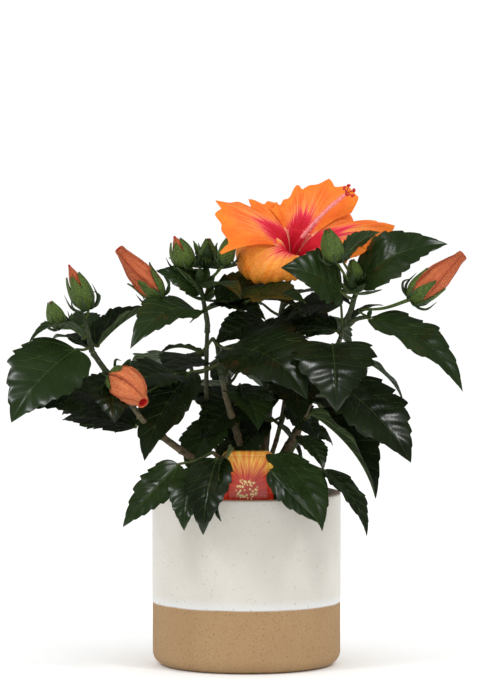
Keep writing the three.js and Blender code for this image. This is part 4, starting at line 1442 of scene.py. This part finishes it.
def petal_places(out, across, shape):
    """Where the points of a petal lie: out from the calyx (0 to 1), and across it (-1 to 1)."""
    open_share = np.clip((out - THROAT_SHARE) / (1 - THROAT_SHARE), 0, 1)
    closed = np.clip(out / THROAT_SHARE, 0, 1)
    start, end = math.radians(shape["start"]), math.radians(shape["end"])
    place, reach = zip(*shape["rim"])
    fray = 0.025 * np.sin(23 * across + 5 * shape["phase"]) * open_share ** 4
    length = shape["length"] * (np.interp(across, place, reach) + fray)
    bend = start + (end - start) * open_share
    radius = shape["throat"] * closed + length * (np.sin(bend) - math.sin(start)) / (end - start)
    height = -BLOOM_DEPTH / MM * (1 - closed) ** 1.5
    height = height - length * (np.cos(bend) - math.cos(start)) / (end - start)
    wave = np.sin(shape["waves"] * math.pi * across + shape["phase"])
    small = np.sin(3.1 * shape["waves"] * math.pi * across + 2 * shape["phase"] + 5 * out)
    height = height + shape["ruffle"] * open_share ** 1.6 * (wave + 0.4 * small * open_share)
    height = height - shape["cup"] * across ** 2 * open_share
    fan = math.radians(shape["spread"]) * np.minimum(1, 0.86 + 0.3 * out)
    angle = math.radians(shape["turn"]) + across * fan
    flat = np.multiply.outer(radius * np.cos(angle), BLOOM_RIGHT)
    flat = flat + np.multiply.outer(radius * np.sin(angle), BLOOM_UP)
    return BLOOM_CENTRE + MM * (flat + np.multiply.outer(height, BLOOM_AXIS))


def petal_piece(name, shape, material):
    """A flat grid that is laid in the petal's shape and thickened."""
    petal = primitive(name, bpy.ops.mesh.primitive_grid_add, x_subdivisions=56, y_subdivisions=70,
                      size=2)
    flat = np.zeros(len(petal.data.vertices) * 3)
    petal.data.vertices.foreach_get("co", flat)
    flat = flat.reshape(-1, 3)
    places = petal_places(flat[:, 1] * 0.5 + 0.5, flat[:, 0], shape)
    petal.data.vertices.foreach_set("co", places.ravel())
    petal.data.uv_layers.active.name = "pattern"
    petal.data.update()
    apply_modifier(petal, "SOLIDIFY", thickness=PETAL_THICKNESS, offset=0)
    petal.data.materials.append(material)
    return petal


print("petal sheets", round(PETAL_THICKNESS / MM, 1), "mm thick")

# %% [markdown]
# The petals are orange, more golden towards the free edge, which is partly their own colour and partly
# painted highlight, with pale lines that run out from the throat. The eye is crimson and breaks up into
# pink feathers. All of it is drawn on the petal's own places, across and out, so it grows with the
# petal. The ball petal gets a brighter, more golden copy of the finish, painted light where its roll
# catches the light from above, and it has a small eye.


# %% Petal finishes
def petal_finish(name, body, edge, eye):
    petal = Finish(name, body, 0.6, Specular_IOR_Level=0.25)
    uv = petal.node("ShaderNodeUVMap", {"uv_map": "pattern"}).outputs["UV"]
    parts = petal.node("ShaderNodeSeparateXYZ", Vector=uv)
    across, out = parts.outputs["X"], parts.outputs["Y"]
    side = petal.maths("ABSOLUTE", petal.maths("SUBTRACT", across, 0.5))

    def lines(count, stretch, low, high):
        along_petal = petal.node("ShaderNodeMapping", Vector=uv)
        along_petal.inputs["Scale"].default_value = (count, stretch, 1)
        return petal.pattern("mottle", along_petal.outputs["Vector"], Scale=1, Low=low, High=high)

    fine, broad = lines(60, 2, 0.4, 0.62), lines(7, 3, 0.3, 0.7)
    grain = petal.pattern("mottle", Scale=480, Low=0.3, High=0.7)
    colour = petal.tint(body, edge, broad, 0.8)
    # Golden towards the free edge: partly the petal's own colour and partly a painted highlight.
    colour = petal.tint(colour, edge, petal.spread(out, 0.72, 1.0, smooth=True), 0.5)
    reach = petal.maths("MULTIPLY", petal.spread(out, 0.95, 0.35), petal.spread(side, 0.42, 0.1))
    colour = petal.tint(colour, paint(255, 200, 128), petal.maths("MULTIPLY", fine, reach), 0.7)
    colour = petal.tint(colour, paint(216, 80, 16), grain, 0.3)
    feather = petal.maths("MULTIPLY", petal.maths("SUBTRACT", fine, 0.5), 0.2)
    lobe = petal.maths("MULTIPLY", petal.maths("POWER", side, 1.4), 0.9)
    height = petal.maths("ADD", petal.maths("ADD", out, feather), lobe)
    pink = petal.spread(height, eye + 0.14, eye + 0.04, smooth=True)
    crimson = petal.spread(height, eye + 0.07, eye - 0.05, smooth=True)
    colour = petal.mix(pink, colour, paint(230, 48, 84))
    colour = petal.mix(crimson, colour, paint(200, 12, 36))
    seam = petal.maths("MULTIPLY", petal.spread(side, 0.42, 0.5), petal.spread(out, 0.42, 0.3))
    colour = petal.mix(seam, colour, paint(250, 196, 160))
    relief = petal.maths("ADD", petal.maths("MULTIPLY", broad, 0.7), petal.maths("MULTIPLY", grain, 0.3))
    return petal.wear(colour, None, relief, 0.0016, 0.7)


PETAL_ORANGE = petal_finish("petal_orange", paint(226, 84, 10), paint(241, 138, 36), eye=0.5)
# A brighter, more golden copy of the petal finish for the ball petal: painted light where its roll
# catches the light from above.
PETAL_GOLD_LIT = petal_finish("petal_gold_lit", paint(238, 122, 20), paint(250, 172, 56), eye=0.38)
for name, shape in PETAL_SHAPES.items():
    petal = petal_piece(name, shape, PETAL_GOLD_LIT if name == "petal_ball" else PETAL_ORANGE)
    stands_for = ["bloom"] if name == "petal_top" else []
    ready(petal, "petals", *stands_for, angle=80)

# %% [markdown]
# The column rises from the throat and leans out over the right petal. It is a pale pink tube covered
# in short hairs, and it ends in five threads with round, dark red pads.


# %% Column
COLUMN_STEPS = 48
HAIRS = 150
THREADS = 5
BLUSH, PAD, THROAT = 0, 1, 2  # paint numbers in the column's mesh


def column_finish():
    column = Finish("column", paint(240, 150, 150), 0.6)
    blush = column.pattern("mottle", Scale=500, Low=0.3, High=0.7)
    return column.wear(column.mix(blush, paint(232, 104, 116), paint(246, 168, 160)))


COLUMN_TONES = [column_finish(), Finish("stigma_pad", paint(186, 18, 26), 0.5).material,
                Finish("throat", paint(196, 24, 48), 0.55).material]
bend = BLOOM_CENTRE * 0.5 + STIGMA * 0.5 + BLOOM_AXIS * 6 * MM
column_path = smooth_path([CALYX, BLOOM_CENTRE, bend, STIGMA], COLUMN_STEPS)
lower, upper = column_path[:20], column_path[18:]
column = Gatherer()
tube(column, lower, np.linspace(2.4, 1.5, len(lower)) * MM, 14, THROAT)
tube(column, upper, np.linspace(1.5, 0.8, len(upper)) * MM, 14, BLUSH)
column_frames = frames_along(column_path)
print("column", round(np.linalg.norm(STIGMA - BLOOM_CENTRE) / MM), "mm long")

# %% [markdown]
# The hairs are too fine for a sheet, so each is a five-sided thread that leans towards the tip, and
# they go round the column by the golden angle. The threads at the end bend outwards to their pads.


# %% Hairs and stigma
def way_round(frame_here, turn):
    """An arrow that points out from the column, at a turn round it."""
    across, upward, _ = frame_here
    return across * math.cos(turn) + upward * math.sin(turn)


for i in range(HAIRS):
    share = 0.42 + 0.55 * (i / HAIRS)
    here = column_frames[int(share * (COLUMN_STEPS - 1))]
    onward = here[2]
    start = along(column_path, share)
    size = (1.4 + 1.3 * fraction(i)) * MM
    tip = start + (way_round(here, math.radians(GOLDEN_ANGLE * i)) + 0.45 * onward) * size
    path = np.array([start, (start + tip) / 2 + onward * 0.2 * MM, tip])
    tube(column, path, np.array([0.16, 0.1, 0.24]) * MM, 5, BLUSH)
onward = column_frames[-1][2]
for k in range(THREADS):
    way = way_round(column_frames[-1], 2 * math.pi * k / THREADS + 0.3)
    bent = STIGMA + (3 * onward + 2 * way) * MM
    end = STIGMA + (5 * onward + 4.6 * way) * MM
    tube(column, smooth_path([STIGMA, bent, end], 8), np.linspace(0.5, 0.4, 8) * MM, 7, PAD)
    pad = np.array([end + way * step * MM for step in (-0.9, -0.5, 0, 0.6, 0.9)])
    tube(column, pad, np.array([0.6, 1.4, 1.75, 1.35, 0.5]) * MM, 10, PAD)
ready(column.piece("column", COLUMN_TONES), "petals", angle=60)

# %% [markdown]
# Behind the petals sit the calyx and its stalk, which carries the bloom on the tall bough. The cup is
# a bud without petals. After it, all that is green on the buds and the bloom becomes one piece.

# %% Calyx of the bloom
cup = Bud(CALYX - BLOOM_AXIS * 4 * MM, CALYX + BLOOM_AXIS * 26 * MM, 11 * MM,
          outline=[(0, 0.3), (0.1, 0.6), (0.3, 0.85), (0.6, 1.05), (0.9, 1.3), (1, 1.4), (1, 0.1)])
sepals(greens, cup, 0.85, flare=0.6)
bracts(greens, cup, reach=1.2, height=0.5)
bough_end = lines["bough_bloom"][-1]
pedicel(greens, [bough_end, (bough_end + cup.path[0]) / 2 - [0, 0, 0.5 * MM], cup.path[0]], 1.7, 1.6)
ready(greens.piece("calyces", [SEPAL, BRACT_GREEN]), "leaves", angle=60)
ready(brights.piece("green_bud_petals", [BUD_PETALS]), "bud_petals", angle=50)

# %% [markdown]
# ## Plant label
# Growers push a printed card into the soil. This one is plain: golden at the top, red below, with
# fine rays that spread from a pale cluster low on the part that shows. The rays are a mottle that is
# read by its angle round the cluster.


# %% Label finish
def label_finish():
    card = Finish("label_card", paint(214, 60, 30), 0.35, Coat_Weight=0.4, Coat_Roughness=0.1)
    low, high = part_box("plant_label")
    parts = card.node("ShaderNodeSeparateXYZ", Vector=card.place)
    x, z = parts.outputs["X"], parts.outputs["Z"]
    dx = card.maths("SUBTRACT", x, (low.x + high.x) / 2 - 1 * MM)
    dz = card.maths("SUBTRACT", z, pot_high.z + 7 * MM)
    turned = card.maths("MULTIPLY", card.maths("ARCTAN2", dx, dz), 12)
    squares = card.maths("ADD", card.maths("MULTIPLY", dx, dx), card.maths("MULTIPLY", dz, dz))
    distance = card.maths("SQRT", squares)
    ray_place = card.node("ShaderNodeCombineXYZ", X=turned, Y=card.maths("MULTIPLY", distance, 60))
    ray = card.pattern("mottle", ray_place.outputs["Vector"], Scale=1, Low=0.35, High=0.65)
    red = card.mix(ray, paint(190, 22, 14), paint(226, 70, 28))
    gold = card.mix(ray, paint(240, 130, 40), paint(250, 206, 90))
    ragged = card.maths("ADD", z, card.maths("MULTIPLY", ray, 6 * MM))
    fade = card.spread(ragged, high.z - 17 * MM, high.z - 3 * MM, smooth=True)
    colour = card.mix(fade, red, gold)
    dots = card.pattern("specks", Scale=520, Size=0.48, Share=0.9)
    near = card.spread(distance, 9.5 * MM, 7.5 * MM)
    return card.wear(card.tint(colour, paint(250, 222, 150), dots, near))


LABEL_CARD = label_finish()
print("label finish", LABEL_CARD.name)

# %% [markdown]
# The card is a thin box. Its two upper corners are rounded by a bevel on the short edges that run
# through the card at its top.


# %% Label shape
LABEL_CORNER = 5.5 * MM


def label_piece():
    low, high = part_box("plant_label")
    label = primitive("label_card", bpy.ops.mesh.primitive_cube_add, size=1,
                      location=(low + high) / 2, scale=high - low)
    settle(label)
    for edge in label.data.edges:
        first, second = (label.data.vertices[i].co for i in edge.vertices)
        at_top = min(first.z, second.z) > high.z - NEAR
        edge.select = at_top and abs(first.x - second.x) < NEAR
    bpy.ops.object.mode_set(mode="EDIT")
    bpy.ops.mesh.select_mode(type="EDGE")
    bpy.ops.mesh.bevel(offset=LABEL_CORNER, segments=8, affect="EDGES")
    bpy.ops.object.mode_set(mode="OBJECT")
    return label


label = label_piece()
label.data.materials.append(LABEL_CARD)
ready(label, "label_card", "plant_label")

# %% [markdown]
# ## Floor
# The floor is a plain white sheet, matt all over and so wide that its edge is out of sight. It only
# takes the soft shadow under the pot.

# %% Floor
floor_paint = Finish("floor_paint", paint(253, 253, 252), 1.0, Specular_IOR_Level=0.0)
floor = primitive("floor", bpy.ops.mesh.primitive_plane_add, size=40)
floor.data.materials.append(floor_paint.material)
floor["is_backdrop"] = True
print("floor", round(floor.dimensions.x), "m wide")

# %% [markdown]
# ## Size
# The triangles of all the shown pieces are counted. The dressed plant may stand out from its plain
# solids by a little.

# %% Sizes and finish
total = sum(triangles_of(o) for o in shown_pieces() if o.type == "MESH")
print("triangles", total)
